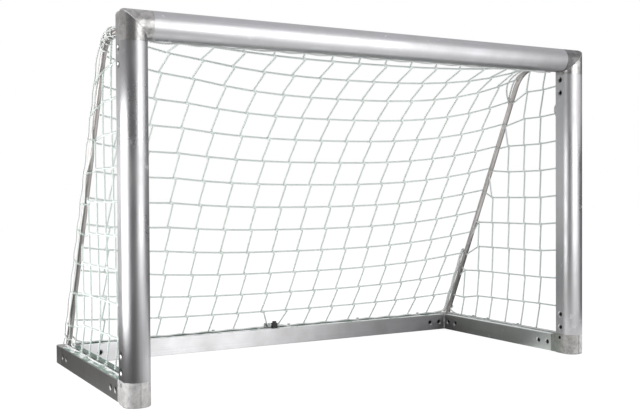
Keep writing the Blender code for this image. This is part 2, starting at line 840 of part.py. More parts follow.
def add_cord_lock(materials):
    """Sprung cord lock: pressing the button lines its slot up with the slot in the body."""
    base = Vector((LOCK_X, LOCK_Y, LOCK_Z))
    place = Matrix.Translation(base)
    body_size = (LOCK_WIDTH, LOCK_THICKNESS, LOCK_HEIGHT)
    body = add_object(
        "cord_lock_body", rounded_block_mesh("lock_body", body_size, LOCK_EDGE), materials["black"], place
    )
    pocket = (BUTTON_WIDTH + 2 * GAP, BUTTON_THICKNESS + 2 * GAP, 2 * (LOCK_HEIGHT - LOCK_FLOOR))
    bm = bmesh.new()
    add_box(bm, base + Vector((0, 0, LOCK_HEIGHT)), pocket)
    cut(body, bm)
    slot = base + Vector((0, 0, SLOT_BOTTOM + SLOT_HEIGHT / 2))
    slot_size = (2 * LOCK_WIDTH, SLOT_WIDTH, SLOT_HEIGHT)
    bm = bmesh.new()
    add_box(bm, slot, slot_size)
    cut(body, bm)
    sole = SLOT_BOTTOM + BUTTON_TRAVEL - BUTTON_SOLE
    button_size = (BUTTON_WIDTH, BUTTON_THICKNESS, LOCK_HEIGHT + BUTTON_RISE - sole)
    button_place = Matrix.Translation(base + Vector((0, 0, sole)))
    button_mesh = rounded_block_mesh("lock_button", button_size, LOCK_EDGE / 2)
    button = add_object("cord_lock_button", button_mesh, materials["black"], button_place)
    bm = bmesh.new()
    add_box(bm, slot + Vector((0, 0, BUTTON_TRAVEL)), slot_size)
    cut(button, bm)
    spring_space = sole - LOCK_FLOOR - 2 * GAP
    spring_place = Matrix.Translation(base + Vector((0, 0, LOCK_FLOOR + GAP)))
    add_object("cord_lock_spring", spring_mesh(spring_space), materials["steel"], spring_place)


def spring_mesh(height):
    """Compression spring on local Z: a wire wound at a steady rate, its ends square to the wire."""
    bm = bmesh.new()
    radius = (SPRING_DIAMETER - SPRING_WIRE) / 2
    rise = height - SPRING_WIRE
    steps = SPRING_TURNS * SPRING_STEPS
    wire = arc((0, 0), SPRING_WIRE / 2, 0, 360, SPRING_SIDES)[:-1]
    rings = []
    for step in range(steps + 1):
        angle = 2 * math.pi * step / SPRING_STEPS
        out = Vector((math.cos(angle), math.sin(angle), 0))
        center = out * radius + Z_AXIS * (SPRING_WIRE / 2 + rise * step / steps)
        rings.append(add_ring(bm, [center + out * u + Z_AXIS * v for u, v in wire]))
    for first, second in zip(rings, rings[1:]):
        bridge(bm, first, second)
    fill(bm, rings[0])
    fill(bm, rings[-1])
    return mesh_from(bm, "lock_spring", 2 * ROUND_SHARP)


def draw_cord_route():
    """Points by hand from beside the border cord, through the lock and back to the border cord."""
    height = LOCK_Z + SLOT_BOTTOM + SLOT_HEIGHT - (SLOT_HEIGHT - BUTTON_TRAVEL) / 2
    low = BAR_SIZE + DRAW_CORD / 2 + GAP
    return [
        Vector((-0.105, REAR_Y - 0.0075, low)),
        Vector((-0.090, REAR_Y - 0.009, low + 0.001)),
        Vector((-0.068, LOCK_Y + 0.006, height - 0.003)),
        Vector((-0.048, LOCK_Y, height)),
        Vector((LOCK_X, LOCK_Y, height)),
        Vector((-0.006, LOCK_Y, height)),
        Vector((0.016, LOCK_Y + 0.006, height - 0.003)),
        Vector((0.040, REAR_Y - 0.009, low + 0.001)),
        Vector((0.055, REAR_Y - 0.0075, low)),
    ]


def smooth_through(points, steps):
    """Catmull-Rom curve through the points."""
    ends = [2 * points[0] - points[1], *points, 2 * points[-1] - points[-2]]
    curve = []
    for a, b, c, d in zip(ends, ends[1:], ends[2:], ends[3:]):
        for step in range(steps):
            t = step / steps
            bend = 2 * a - 5 * b + 4 * c - d
            curve.append(0.5 * (2 * b + (c - a) * t + bend * t**2 + (3 * b - a - 3 * c + d) * t**3))
    return curve + [points[-1]]


def add_draw_cord(material):
    curve = bpy.data.curves.new("draw_cord", "CURVE")
    curve.dimensions = "3D"
    curve.bevel_depth = DRAW_CORD / 2
    curve.bevel_resolution = 1
    curve.use_fill_caps = True
    route = smooth_through(draw_cord_route(), 2)
    spline = curve.splines.new("POLY")
    spline.points.add(len(route) - 1)
    for point, place in zip(spline.points, route):
        point.co = (*place, 1)
    cord = bpy.data.objects.new("draw_cord", curve)
    curve.materials.append(material)
    bpy.context.scene.collection.objects.link(cord)


def make_materials():
    return {
        "aluminium": make_material("aluminium", (0.62, 0.62, 0.64), 0.38, 1.0),
        "casting": make_material("casting", (0.42, 0.41, 0.41), 0.55, 1.0),
        "bar": make_material("bar", (0.50, 0.49, 0.51), 0.42, 1.0),
        "stay": make_material("stay", (0.50, 0.46, 0.45), 0.40, 1.0),
        "steel": make_material("steel", (0.55, 0.55, 0.56), 0.30, 1.0),
        "cord": make_material("cord", (0.74, 0.79, 0.76), 0.85, 0.0),
        "clip": make_material("clip", (0.45, 0.49, 0.47), 0.60, 0.0),
        "black": make_material("black", (0.02, 0.02, 0.022), 0.45, 0.0),
    }


def add_tubes(materials):
    """Posts, crossbar and ground bars, between the castings that hold them."""
    pieces = {}
    post_bottom = FOOT_HEIGHT + GAP
    post = tube_mesh(
        "post",
        oval_outline(channel=True),
        oval_chamber(PROFILE_WALL),
        BEAM_Z - TOP_ARM - GAP - post_bottom,
    )
    beam_half = POST_X - TOP_ARM - GAP
    beam = tube_mesh("beam", oval_outline(channel=True), oval_chamber(PROFILE_WALL), 2 * beam_half)
    side_front = POST_Y + NECK_SEAM + GAP
    side_back = REAR_Y - CORNER_ARM - GAP
    side_bar = tube_mesh("side_bar", bar_outline(True), bar_chamber(BAR_WALL), side_back - side_front)
    rear_half = POST_X - CORNER_ARM - GAP
    rear_bar = tube_mesh("rear_bar", bar_outline(True), bar_chamber(BAR_WALL), 2 * rear_half)
    for side, sign in (("left", -1), ("right", 1)):
        place = Matrix.Translation((sign * POST_X, POST_Y, post_bottom))
        pieces[f"{side}_post"] = add_object(f"{side}_post", post, materials["aluminium"], place)
        place = frame_at((sign * POST_X, side_back, BAR_HALF), X_AXIS, Z_AXIS)
        name = f"side_bar_{side}"
        pieces[name] = add_object(name, side_bar, materials["bar"], place)
    place = frame_at((-beam_half, POST_Y, BEAM_Z), -Z_AXIS, Y_AXIS)
    pieces["crossbar"] = add_object("crossbar", beam, materials["aluminium"], place)
    place = frame_at((-rear_half, REAR_Y, BAR_HALF), Y_AXIS, Z_AXIS)
    pieces["rear_bar"] = add_object("rear_bar", rear_bar, materials["bar"], place)
    return pieces


def add_castings(materials):
    """Top corners, feet and rear corners."""
    pieces = {}
    top = elbow_mesh(
        "top_corner", oval_outline(), oval_chamber(PROFILE_WALL + GAP), oval_hollow(), TOP_ARM, top_radius
    )
    rear = elbow_mesh(
        "rear_corner", bar_outline(), bar_chamber(BAR_WALL + GAP), bar_hollow(), CORNER_ARM, corner_radius
    )
    foot = foot_post_mesh()
    neck = neck_mesh()
    hollow = foot_hollow_mesh()
    for side, sign in (("left", -1), ("right", 1)):
        top_axes = (X_AXIS, -Z_AXIS) if sign < 0 else (-Z_AXIS, -X_AXIS)
        place = frame_at((sign * POST_X, POST_Y, BEAM_Z), *top_axes)
        name = f"top_corner_{side}"
        pieces[name] = add_object(name, top, materials["casting"], place)
        rear_axes = (-Y_AXIS, X_AXIS) if sign < 0 else (-X_AXIS, -Y_AXIS)
        place = frame_at((sign * POST_X, REAR_Y, BAR_HALF), *rear_axes)
        name = f"rear_corner_{side}"
        pieces[name] = add_object(name, rear, materials["casting"], place)
        name = f"foot_{side}"
        place = Matrix.Translation((sign * POST_X, POST_Y, 0))
        pieces[name] = add_object(name, foot, materials["casting"], place)
        helpers = []
        for label, mesh, operation in (("neck", neck, "UNION"), ("hollow", hollow, "DIFFERENCE")):
            helper = add_object(f"{name}_{label}", mesh, None, place)
            hide_helper(helper)
            add_boolean(pieces[name], helper, operation)
            helpers.append(helper)
    return pieces


def add_screws(materials, pieces):
    """Screws and bolts with the holes that they need in tube and casting."""
    meshes = {}
    holes = {}
    for name, place, form, tube, casting in screw_places():
        if form not in meshes:
            bm = bmesh.new()
            turned(bm, screw_profile(*form), SCREW_SEGMENTS, Matrix.Identity(4))
            meshes[form] = mesh_from(bm, "bolt" if form[1] else "screw", ROUND_SHARP)
        add_object(name, meshes[form], materials["steel"], place)
        for piece in (tube, casting):
            holes.setdefault(piece, []).append((place, form))
    for piece, places in holes.items():
        bm = bmesh.new()
        for place, form in places:
            turned(bm, screw_cut_profile(*form), SCREW_SEGMENTS, place)
        cut(pieces[piece], bm)


def add_stays(materials, pieces):
    """Stays in their sockets, with a grub screw at each end."""
    mesh = stay_mesh()
    for side, sign in (("left", -1), ("right", 1)):
        x = sign * POST_X
        add_object(f"stay_{side}", mesh, materials["stay"], Matrix.Translation((x, 0, 0)))
        points, _ = stay_route(x)
        grubs = grub_places(x)
        castings = (f"top_corner_{side}", f"rear_corner_{side}")
        ends = ((points[0], -Y_AXIS), (points[-1], STAY_SLOPE))
        for casting, (end, onward), (place, length) in zip(castings, ends, grubs):
            bm = bmesh.new()
            rod(bm, end + onward * GAP, end - onward * STAY_CUT_LENGTH, STAY_RADIUS + GAP, STAY_SEGMENTS)
            cut(pieces[casting], bm)
            bm = bmesh.new()
            radius = GRUB_DIAMETER / 2 + GAP
            deep = -length - GAP
            profile = [(0, CUT_SPARE), (radius, CUT_SPARE), (radius, deep), (0, deep)]
            turned(bm, profile, SCREW_SEGMENTS, place)
            cut(pieces[casting], bm)
            bm = bmesh.new()
            turned(bm, grub_profile(length), SCREW_SEGMENTS, place)
            level = "top" if casting.startswith("top") else "foot"
            name = f"stay_grub_screw_{level}_{side}"
            add_object(name, mesh_from(bm, name, ROUND_SHARP), materials["steel"], None)


def add_foot_holes(pieces):
    for side, sign in (("left", -1), ("right", 1)):
        bm = bmesh.new()
        center = Vector((sign * POST_X, POST_Y + FOOT_HOLE_SETBACK, FOOT_HOLE_HEIGHT))
        half = X_AXIS * PROFILE_WIDTH
        rod(bm, center - half, center + half, FOOT_HOLE_DIAMETER / 2, FOOT_HOLE_SEGMENTS)
        cut(pieces[f"foot_{side}"], bm)


def main():
    clear_scene()
    materials = make_materials()
    pieces = add_tubes(materials)
    pieces.update(add_castings(materials))
    add_screws(materials, pieces)
    add_stays(materials, pieces)
    add_foot_holes(pieces)
    add_net("net_back", net_back_mesh(), materials["cord"], 0)
    side_net = net_side_mesh()
    add_net("net_left", side_net, materials["cord"], -POST_X)
    add_net("net_right", side_net, materials["cord"], POST_X)
    clip = clip_mesh()
    for name, place in clip_places():
        add_object(name, clip, materials["clip"], place)
    add_cord_lock(materials)
    add_draw_cord(materials["cord"])


main()
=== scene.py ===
"""Mini soccer goal: its drawn and cast metal, twisted cords and fittings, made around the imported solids."""

import math
import random

import bmesh
import bpy
import numpy as np
from mathutils import Matrix, Vector


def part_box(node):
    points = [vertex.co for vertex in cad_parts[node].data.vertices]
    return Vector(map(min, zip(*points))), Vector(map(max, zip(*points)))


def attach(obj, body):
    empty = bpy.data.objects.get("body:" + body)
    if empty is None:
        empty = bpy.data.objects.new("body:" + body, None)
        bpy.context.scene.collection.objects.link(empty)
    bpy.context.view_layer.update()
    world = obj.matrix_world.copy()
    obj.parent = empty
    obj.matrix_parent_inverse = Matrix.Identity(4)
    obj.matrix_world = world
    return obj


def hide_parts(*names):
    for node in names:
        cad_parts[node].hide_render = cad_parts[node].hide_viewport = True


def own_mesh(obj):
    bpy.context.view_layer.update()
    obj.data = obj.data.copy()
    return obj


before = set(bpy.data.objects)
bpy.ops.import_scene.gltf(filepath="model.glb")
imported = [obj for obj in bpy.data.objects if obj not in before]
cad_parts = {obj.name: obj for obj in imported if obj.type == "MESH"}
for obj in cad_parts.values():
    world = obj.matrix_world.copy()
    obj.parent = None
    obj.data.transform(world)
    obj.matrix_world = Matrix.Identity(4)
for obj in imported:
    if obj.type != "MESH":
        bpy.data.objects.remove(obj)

bl_info = {
    "name": "Mini Soccer Goal",
    "version": (1, 0, 0),
    "blender": (4, 5, 0),
    "location": "View3D > Sidebar > Goal",
    "description": "Makes a mini soccer goal of oval profile with cast corners and a knotted net",
    "category": "Add Mesh",
}

FRAME_BODY = "goal_frame"
SIDES = (("left", -1), ("right", 1))
SIGNS = (-1, 1)
X_AXIS = Vector((1, 0, 0))
Y_AXIS = Vector((0, 1, 0))
Z_AXIS = Vector((0, 0, 1))

# Sections, in metres, as in the solids
PROFILE_WIDTH = 0.094
PROFILE_DEPTH = 0.090
FLAT_LENGTH = 0.047
FLAT_STEP = 0.003
STEP_LENGTH = 0.002
CHANNEL_MOUTH = 0.012
CHANNEL_WIDTH = 0.022
CHANNEL_DEPTH = 0.016
CHANNEL_LIP = 0.003
EDGE_ROUND = 0.003
NOSE_SEGMENTS = 48
BAR_SIZE = 0.075
GAP = 0.0003
HALF_WIDTH = PROFILE_WIDTH / 2
FLAT_HALF = HALF_WIDTH - FLAT_STEP
BACK = PROFILE_DEPTH / 2
FRONT = BACK - FLAT_LENGTH
BAR_HALF = BAR_SIZE / 2

# Places, read from the solids
POST_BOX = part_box("right_post")
BEAM_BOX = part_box("crossbar")
REAR_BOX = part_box("rear_bar")
SIDE_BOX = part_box("side_bar_right")
SPRING_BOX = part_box("cord_lock_spring")
POST_X = (POST_BOX[0].x + POST_BOX[1].x) / 2
POST_Y = (POST_BOX[0].y + POST_BOX[1].y) / 2
POST_BACK = POST_Y + BACK
BEAM_Z = (BEAM_BOX[0].z + BEAM_BOX[1].z) / 2
REAR_Y = (REAR_BOX[0].y + REAR_BOX[1].y) / 2
FOOT_TOP = POST_BOX[0].z
TOP_ARM = BEAM_Z - POST_BOX[1].z
NECK_SEAM = SIDE_BOX[0].y - POST_Y
CORNER_ARM = REAR_Y - SIDE_BOX[1].y

# Castings
TOP_INNER_ROUND = 0.0010
TOP_OUTER_ROUND = 0.0150
REAR_CORNER_ROUND = 0.006
ELBOW_STEPS = 7
BEAD_RADIUS = 0.0010
BEAD_SPACING = 0.0012
NECK_START = 0.020
SOLE_ROUND = 0.008
GROOVE_SIZE = (0.0035, 0.004, 0.2)
GROOVE_MIDDLE = 0.05
FOOT_HOLE_RADIUS = 0.0070
FOOT_HOLE_BACK = 0.022
FOOT_HOLE_HEIGHT = 0.067

# Screws: places of their rows, and their dished holes
SCREW_LINE = POST_Y + 0.020
SCREW_INSET = 0.0247
SCREW_PITCH = 0.055
FOOT_SCREW_RISE = 0.0287
POST_SCREW_DROP = 0.0207
DISH_RADIUS = 0.0132
DISH_DEPTH = 0.0024
HEAD_RADIUS = 0.0106
HEAD_PLAY = 0.0002
SHANK_RADIUS = 0.0050
SHANK_HOLE = 0.0053
CONE_FOOT = DISH_DEPTH + 0.0057
SCREW_DEPTH = 0.0120
SCREW_HOLE_DEPTH = 0.0140
SOCKET_RIM = 0.0082
SOCKET_FLOOR = 0.0110
OVER_CUT = 0.003

# Stays
STAY_RADIUS = 0.011
STAY_BEND_RADIUS = 0.140
STAY_REACH = 0.310
STAY_SETBACK = 0.0155
STAY_IN_TOP = 0.0155
STAY_IN_CORNER = 0.0235
STAY_PLAY = 0.0004
SOCKET_SPARE = 0.001
GRUB_HOLE = 0.0033
GRUB_BACK = 0.008
GRUB_DROP = 0.013
GRUB_DEPTH_TOP = 0.030
GRUB_DEPTH_CORNER = 0.020
SLANT_SPARE = 0.020

# Net: its surface, as in the solids, and the knots of its panels as the photograph shows them
NET_EDGE = 0.022
NET_SAG_POWER = 2.6
NET_REST = 0.0055
NET_STANDOFF = 0.0005
NET_CORD_SOLID = 0.005
NET_LANDING = 0.12
NET_TO_STAY = 0.003
ROW_COUNT = 13
ROW_FIRST = 0.043
ROW_PITCH = 0.0715
ROW_SPREAD = 0.00013
COLUMN_COUNT = 15
COLUMN_FIRST = -0.8835
COLUMN_PITCH = 0.1195
COLUMN_SPREAD = 0.0012
SPREAD_FROM = 9
NET_LEAN = 0.062
LEAN_POWER = 2.5
LEAN_FREE = 0.5
DRAWN_TO_LOCK = {6: -0.052, 7: -0.003}
LEFT_DROP = 0.0155
LEFT_DROP_START = -0.62
LEFT_DROP_REACH = 0.24
LEFT_DROP_ROWS = 10
KNOT_SHARE = 0.80
KNOT_STEPS = 12
KNOT_STEP = 0.0042

# Side panels: rows and uprights, how the uprights lean (start, reach, amount), and their ends at the stays
SIDE_ROW_COUNT = 9
SIDE_ROW_FIRST = 0.194
SIDE_ROW_PITCH = 0.1190
SIDE_COLUMNS = (-0.250, -0.146, -0.038, 0.077, 0.181, 0.290)
SIDE_FRONT = POST_BACK + NET_STANDOFF + 0.003
SIDE_INSET = 0.004
SIDE_CLEAR = 0.020
SIDE_RISE = 0.004
SIDE_DROOP = 0.012
SIDE_DROOP_STEP = 0.002
LAST_DROOP = 0.015
UPPER_DROOP = 0.3
SIDE_KINK = 0.6
GROUND_LEAN = (0.30, -0.22, 0.030)
LEFT_LEAN = (0.25, 0.70, 0.060)
RIGHT_LEAN = (1.03, 0.20, -0.032)
UPRIGHT_START = 0.006
UPRIGHT_RUN = 0.018
LAST_ROW_HEIGHT = 1.1
BELOW_STAY = 0.002
TAIL_STAND = 0.0060
TAIL_DROP = 0.010
TAIL_BACK = 0.006
TAIL_FALLS = (-0.012, -0.004, -0.016, -0.018, 0.002, 0.004, 0.002, 0.028, 0.040)
TAIL_TURNS = ((-55, -0.2), (-95, 0.1), (-135, 0.5), (-175, 0.9), (-205, 1.1))

# Lacing and rope: angles round the stay, and spans along it, which end before its foot where negative
LACING_ANGLES = {-1: math.radians(-135), 1: math.radians(50)}
LACING_SPAN = (0.050, -0.035)
LACING_SWAY = 0.50
LACING_CELL = 0.115
LACING_WAVE = 0.001
THIN_LACING = 0.0027
LOOSE_SPAN = (0.231, 0.451)
LOOSE_FROM = 0.235
LOOSE_LENGTH = 0.205
LOOSE_AWAY = Y_AXIS * 0.4 - X_AXIS * 0.8
LACING_SLACK = 0.040
LOOSE_SLACK = 0.030
WRAP_SPAN = (0.150, 0.310)
WRAP_TURNS = 4.0
WRAP_PROUD = 0.010
ROPE_ANGLES = {-1: math.radians(-205), 1: math.radians(145)}
ROPE_SPANS = {-1: (0.022, -0.030), 1: (1.190, -0.030)}
ROPE_STANDS = {-1: 3.0, 1: 1.05}
THIN_ROPE = 0.0033
ROPE_WAVE = 0.0015
ROPE_RADIUS = 0.0090
ROPE_LAY = 0.030

# Border cords
CORD_PLACES = 180
POST_CORD = (0.085, 1.2334)
POST_CORD_PLACES = 116
POST_BOW = (0.985, 0.115, 0.011)
POST_BOW_ASIDE = 3.2
POST_CORD_GAP = 0.0004
GROUND_HOOKS = (-0.097, 0.119, 0.227)
HOOK_REACH = 0.010
HOOK_RISE = 0.028
GROUND_BOWS = {-1: (0.001, 0.011), 1: (-0.004, -0.002)}
BEAM_CORD_DROP = 0.047
BEAM_CORD_WAVE = 0.0018
REAR_CORD_WAVE = 0.0016

# Cord lock, as in the solids
LOCK_X = -0.027
LOCK_Y = REAR_Y - 0.0215
DRAW_CORD = 0.0034
DRAW_CORD_HEIGHT = 0.0903
SPRING_WIRE = 0.0007
SPRING_TURNS = 3
SPRING_STEPS = 90

# Painted light and shade on the ground bars: the near half of a top whitish as painted highlight; its far
# half, the channel and the left bar's outer top edge as painted shade. In metres from the channel's middle,
# the bar's edge and its top
LIT_TO_SHADED = (-0.012, -0.004)
SHADED_EDGE = (0.0050, 0.0030)
CHANNEL_SHADE_MOUTH = (0.0105, 0.0070)
CHANNEL_SHADE_DEPTH = (0.024, 0.016)
TOP_SKIN = (0.0012, 0.0004)
UNEVEN_EDGE = 0.030
DARKER_LEFT_BY_X = 0.11

# Painted shade on the bolts of the left ground bar's outer face: how far they stand off the left ground bar's
# middle, and their height
SHADED_OUTSIDE = (0.010, 0.015)
SHADED_BELOW = (0.070, 0.060)

# Painted shade along one axis, and on the right foot a greener tint towards its neck: axis, start, end, tint
# and unevenness
# Side bars: painted shade, darker towards the rear, and all over the left bar.
SIDE_BAR_SHADE = (("Y", -0.30, 0.45, (0.62, 0.61, 0.60)), ("X", 0.05, -0.05, (0.74, 0.70, 0.71), 0.0))
# Rear bar: painted shade, darker towards its right end.
REAR_BAR_SHADE = (("X", -0.20, 0.85, (0.52, 0.52, 0.53)),)
# Stays: painted shade on the right stay's outer half.
STAY_SHADE = (("X", 0.957, 0.968, (0.50, 0.50, 0.52), 0.001),)
# Right foot: painted shade on its inner side, and a darker, greener tint towards its neck.
RIGHT_FOOT_SHADE_AND_TINT = (
    ("X", 0.992, 0.945, (0.50, 0.495, 0.485), 0.01),
    ("Y", -0.440, -0.405, (0.70, 0.76, 0.71), 0.004),
)

# Studio: walls by direction in degrees from -Y towards +X, the floor's brightness, and the softboxes
WALL_LEVELS = (
    (-180, 0.30), (-160, 0.30), (-140, 0.45), (-75, 0.42), (-60, 0.14), (-8, 0.09), (15, 0.16), (52, 0.16),
    (66, 0.10), (112, 0.10), (130, 0.25), (180, 0.30),
)
CEILING_COLOR = (0.72, 0.72, 0.74)
BACKDROP_IN_GLOSS = 0.35
FLOOR_RADIUS = 14
FLOOR_GLOW = 1.30
FLOOR_GLOW_SHARE = 0.66
FLOOR_IN_GLOSS = (0.10, 0.62)
FLOOR_UNDER_BEAM = 1.05
FLOOR_AHEAD = 1.25
SOFTBOXES = (
    ("front_box", (0.80, -3.05, 1.40), (0.25, -0.4, 1.0), (2.0, 2.4), 2.0, True),
    ("front_wing", (2.22, -2.62, 1.40), (0.80, -0.4, 1.0), (0.9, 2.4), 1.0, True),
    ("high_wing", (3.10, -1.75, 1.62), (0.80, -0.4, 1.05), (1.1, 1.3), 0.75, True),
    ("left_box", (-2.13, -0.05, 0.58), (0.0, -0.15, 0.58), (1.9, 1.05), 2.4, True),
    ("back_fill", (1.5, 3.6, 2.6), (0.0, 0.0, 0.6), (3.0, 2.0), 1.25, False),
)

# Camera of the photograph: its size and focal length in pixels, its place, and yaw, pitch and roll in degrees
PHOTO_WIDTH = 640
FOCAL_LENGTH = 930.57
SENSOR_WIDTH = 36.0
CAMERA_PLACE = (-1.9228, -3.3771, 0.7006)
CAMERA_TURN = (29.37, 1.0575, -0.3224)


# Properties


def length_property(name, description, default):
    return bpy.props.FloatProperty(
        name=name, description=description, default=default, min=0.0, subtype="DISTANCE", unit="LENGTH"
    )


def color_property(name, description, default):
    return bpy.props.FloatVectorProperty(
        name=name, description=description, default=default, size=3, min=0.0, max=1.0, subtype="COLOR"
    )


class GoalNetSettings(bpy.types.PropertyGroup):
    cord: length_property("Cord", "Thickness of the net's cord over its strands", 0.0086)
    border: length_property("Border", "Thickness of the border cord", 0.0084)
    lacing: length_property("Lacing", "Thickness of the cord that laces the net to the stays", 0.0086)
    lay: length_property("Lay", "Length of one full turn of the cord's strands", 0.031)
    knot: length_property("Knot", "Half the width of a knot", 0.0058)
    kink: length_property("Kink", "How far an upright steps aside at a knot", 0.0064)
    seed: bpy.props.IntProperty(name="Seed", description="Start of the net's uneven places", default=7)


class GoalColors(bpy.types.PropertyGroup):
    profile: color_property("Profile", "Drawn aluminium of posts and crossbar", (0.60, 0.60, 0.620))
    casting: color_property("Castings", "Cast aluminium of the corners", (0.60, 0.595, 0.59))
    foot: color_property("Feet", "Cast aluminium of the feet", (0.96, 0.955, 0.95))
    # Painted light: set far lighter than the side bars, standing in for the light on the rear bar's inner
    # face.
    rear_bar: color_property("Rear bar", "Drawn aluminium of the rear bar", (0.92, 0.92, 0.94))
    side_bar: color_property("Side bars", "Drawn aluminium of the side bars", (0.62, 0.655, 0.635))
    # Painted shade: this colour and its shades mark the channels and the far halves of the ground bars' tops.
    channel: color_property("Channel", "Grime in the net channels", (0.10, 0.15, 0.125))
    stay: color_property("Stays", "Tube of the stays", (0.68, 0.65, 0.64))
    screw: color_property("Screws", "Steel of screws and bolts", (0.42, 0.42, 0.42))
    # Painted shade: near black in the screw sockets.
    socket: color_property("Screw sockets", "Darkened steel inside the sockets", (0.03, 0.03, 0.032))
    cord: color_property("Cord", "Twisted cord of the net", (0.93, 1.0, 0.965))
    rope: color_property("Border cord", "Cord of the border and the lacing", (0.95, 0.96, 0.95))
    lock_cord: color_property("Knot at the lock", "Grey cord tied at the lock", (0.25, 0.27, 0.26))
    hook: color_property("Hooks", "Net hooks in the channels", (0.46, 0.49, 0.47))
    plastic: color_property("Cord lock", "Plastic of the cord lock", (0.018, 0.018, 0.020))
    floor: color_property("Floor", "Floor under the goal", (0.80, 0.80, 0.80))


# Materials


class Nodes:
    """Adds nodes to a shader tree. What they take is a number, a colour or another node's output."""

    def __init__(self, tree):
        self.tree = tree

    def feed(self, socket, value):
        if isinstance(value, bpy.types.NodeSocket):
            self.tree.links.new(value, socket)
        elif socket.type == "RGBA":
            socket.default_value = (*value, 1.0)[:4]
        else:
            socket.default_value = value

    def add(self, kind, inputs=None, **settings):
        """New node with its inputs fed by name or number. Gives back its outputs."""
        node = self.tree.nodes.new("ShaderNode" + kind)
        for key, value in settings.items():
            setattr(node, key, value)
        for key, value in (inputs or {}).items():
            self.feed(node.inputs[key], value)
        return node.outputs

    def math(self, operation, first, second=0.0):
        return self.add("Math", {0: first, 1: second}, operation=operation)[0]

    def plus(self, first, second):
        return self.math("ADD", first, second)

    def minus(self, first, second):
        return self.math("SUBTRACT", first, second)

    def times(self, first, second):
        return self.math("MULTIPLY", first, second)

    def larger(self, first, second):
        return self.math("MAXIMUM", first, second)

    def ranged(self, value, low, high, to_low=0.0, to_high=1.0):
        """Maps a value from low..high to to_low..to_high, held at both ends."""
        limits = {"From Min": low, "From Max": high, "To Min": to_low, "To Max": to_high}
        return self.add("MapRange", {"Value": value, **limits})["Result"]

    def noise(self, vector, scale, detail=3.0, rough=0.5):
        inputs = {"Vector": vector, "Scale": scale, "Detail": detail, "Roughness": rough}
        return self.add("TexNoise", inputs)["Fac"]

    def mix(self, factor, first, second, blend="MIX"):
        return self.add("Mix", {0: factor, 6: first, 7: second}, data_type="RGBA", blend_type=blend)[2]

    def vector(self, stretch=(1, 1, 1), source="Object"):
        return self.add("Mapping", {"Vector": self.add("TexCoord")[source], "Scale": stretch})["Vector"]

    def place(self):
        """X, Y and Z on the piece."""
        return self.add("SeparateXYZ", {0: self.vector()})

    def marks(self, name, inputs):
        """Outputs of a group of marks, built once and placed in each material with its own values."""
        group = bpy.data.node_groups.get(name) or marks_group(name, *MARKS[name])
        node = self.tree.nodes.new("ShaderNodeGroup")
        node.node_tree = group
        for key, value in inputs.items():
            self.feed(node.inputs[key], value)
        return node.outputs


def drawn_marks(nodes, given):
    """Marks of drawn and handled metal: die lines, cloudy oxide and fine scratches."""
    vector = given["Vector"]
    lines = nodes.noise(given["Along"], 1.0, 4.0, 0.65)
    clouds = nodes.noise(vector, given["Cloud Scale"], 5.0, 0.6)
    fine = nodes.noise(vector, 38.0, 4.0, 0.7)
    patches = nodes.noise(vector, 9.0, 2.0, 0.5)
    return {
        "Lines": nodes.ranged(lines, 0.30, 0.70),
        "Clouds": nodes.ranged(clouds, 0.32, 0.68),
        "Scuffs": nodes.times(nodes.ranged(fine, 0.58, 0.68), nodes.ranged(patches, 0.55, 0.65)),
        "Height": nodes.plus(nodes.times(lines, 0.6), nodes.times(fine, 0.4)),
    }


def cast_marks(nodes, given):
    """Marks of a sand casting that has stood outdoors: mottled grey, open pits and a grainy skin."""
    vector = given["Vector"]
    mottle = nodes.noise(vector, 55.0, 5.0, 0.7)
    stain = nodes.noise(vector, 11.0, 3.0, 0.55)
    grain = nodes.noise(vector, 420.0, 3.0, 0.6)
    cells = nodes.add("TexVoronoi", {"Vector": vector, "Scale": 210.0})["Distance"]
    pits = nodes.times(nodes.ranged(cells, 0.16, 0.06), nodes.ranged(mottle, 0.5, 0.62))
    rise = nodes.plus(nodes.times(grain, 0.5), nodes.times(mottle, 0.6))
    return {
        "Mottle": nodes.ranged(mottle, 0.32, 0.68),
        "Stain": nodes.ranged(stain, 0.35, 0.66),
        "Pits": pits,
        "Height": nodes.minus(rise, pits),
    }


def cord_marks(nodes, given):
    """Marks of twisted cord: painted shade in the valleys between the strands, fine filaments and handling
    dirt.
    """
    dirt = nodes.noise(given["Vector"], 7.0, 3.0, 0.6)
    return {
        "Valley": nodes.ranged(given["Crest"], 0.48, 0.16),
        "Dirt": nodes.ranged(dirt, 0.45, 0.72),
        "Height": nodes.noise(given["Lengthwise"], 1.0, 2.0, 0.6),
    }


def steel_marks(nodes, given):
    """Marks of turned steel: grime and fine tool lines."""
    vector = given["Vector"]
    return {
        "Grime": nodes.ranged(nodes.noise(vector, 160.0, 4.0, 0.65), 0.40, 0.70),
        "Height": nodes.noise(vector, 900.0, 2.0, 0.5),
    }


def plastic_marks(nodes, given):
    """Marks of moulded plastic: rubbed patches and a fine spark-eroded skin."""
    vector = given["Vector"]
    return {
        "Rubbed": nodes.ranged(nodes.noise(vector, 130.0, 3.0, 0.6), 0.52, 0.70),
        "Height": nodes.noise(vector, 1500.0, 2.0, 0.5),
    }


def painted_shade_marks(nodes, given):
    """Share of painted shade that grows along one axis, unevenly from its start to its end."""
    cloud = nodes.minus(nodes.noise(given["Vector"], 6.0, 3.0), 0.5)
    along = nodes.plus(given["Along"], nodes.times(cloud, given["Drift"]))
    return {"Haze": nodes.ranged(along, given["Start"], given["End"])}


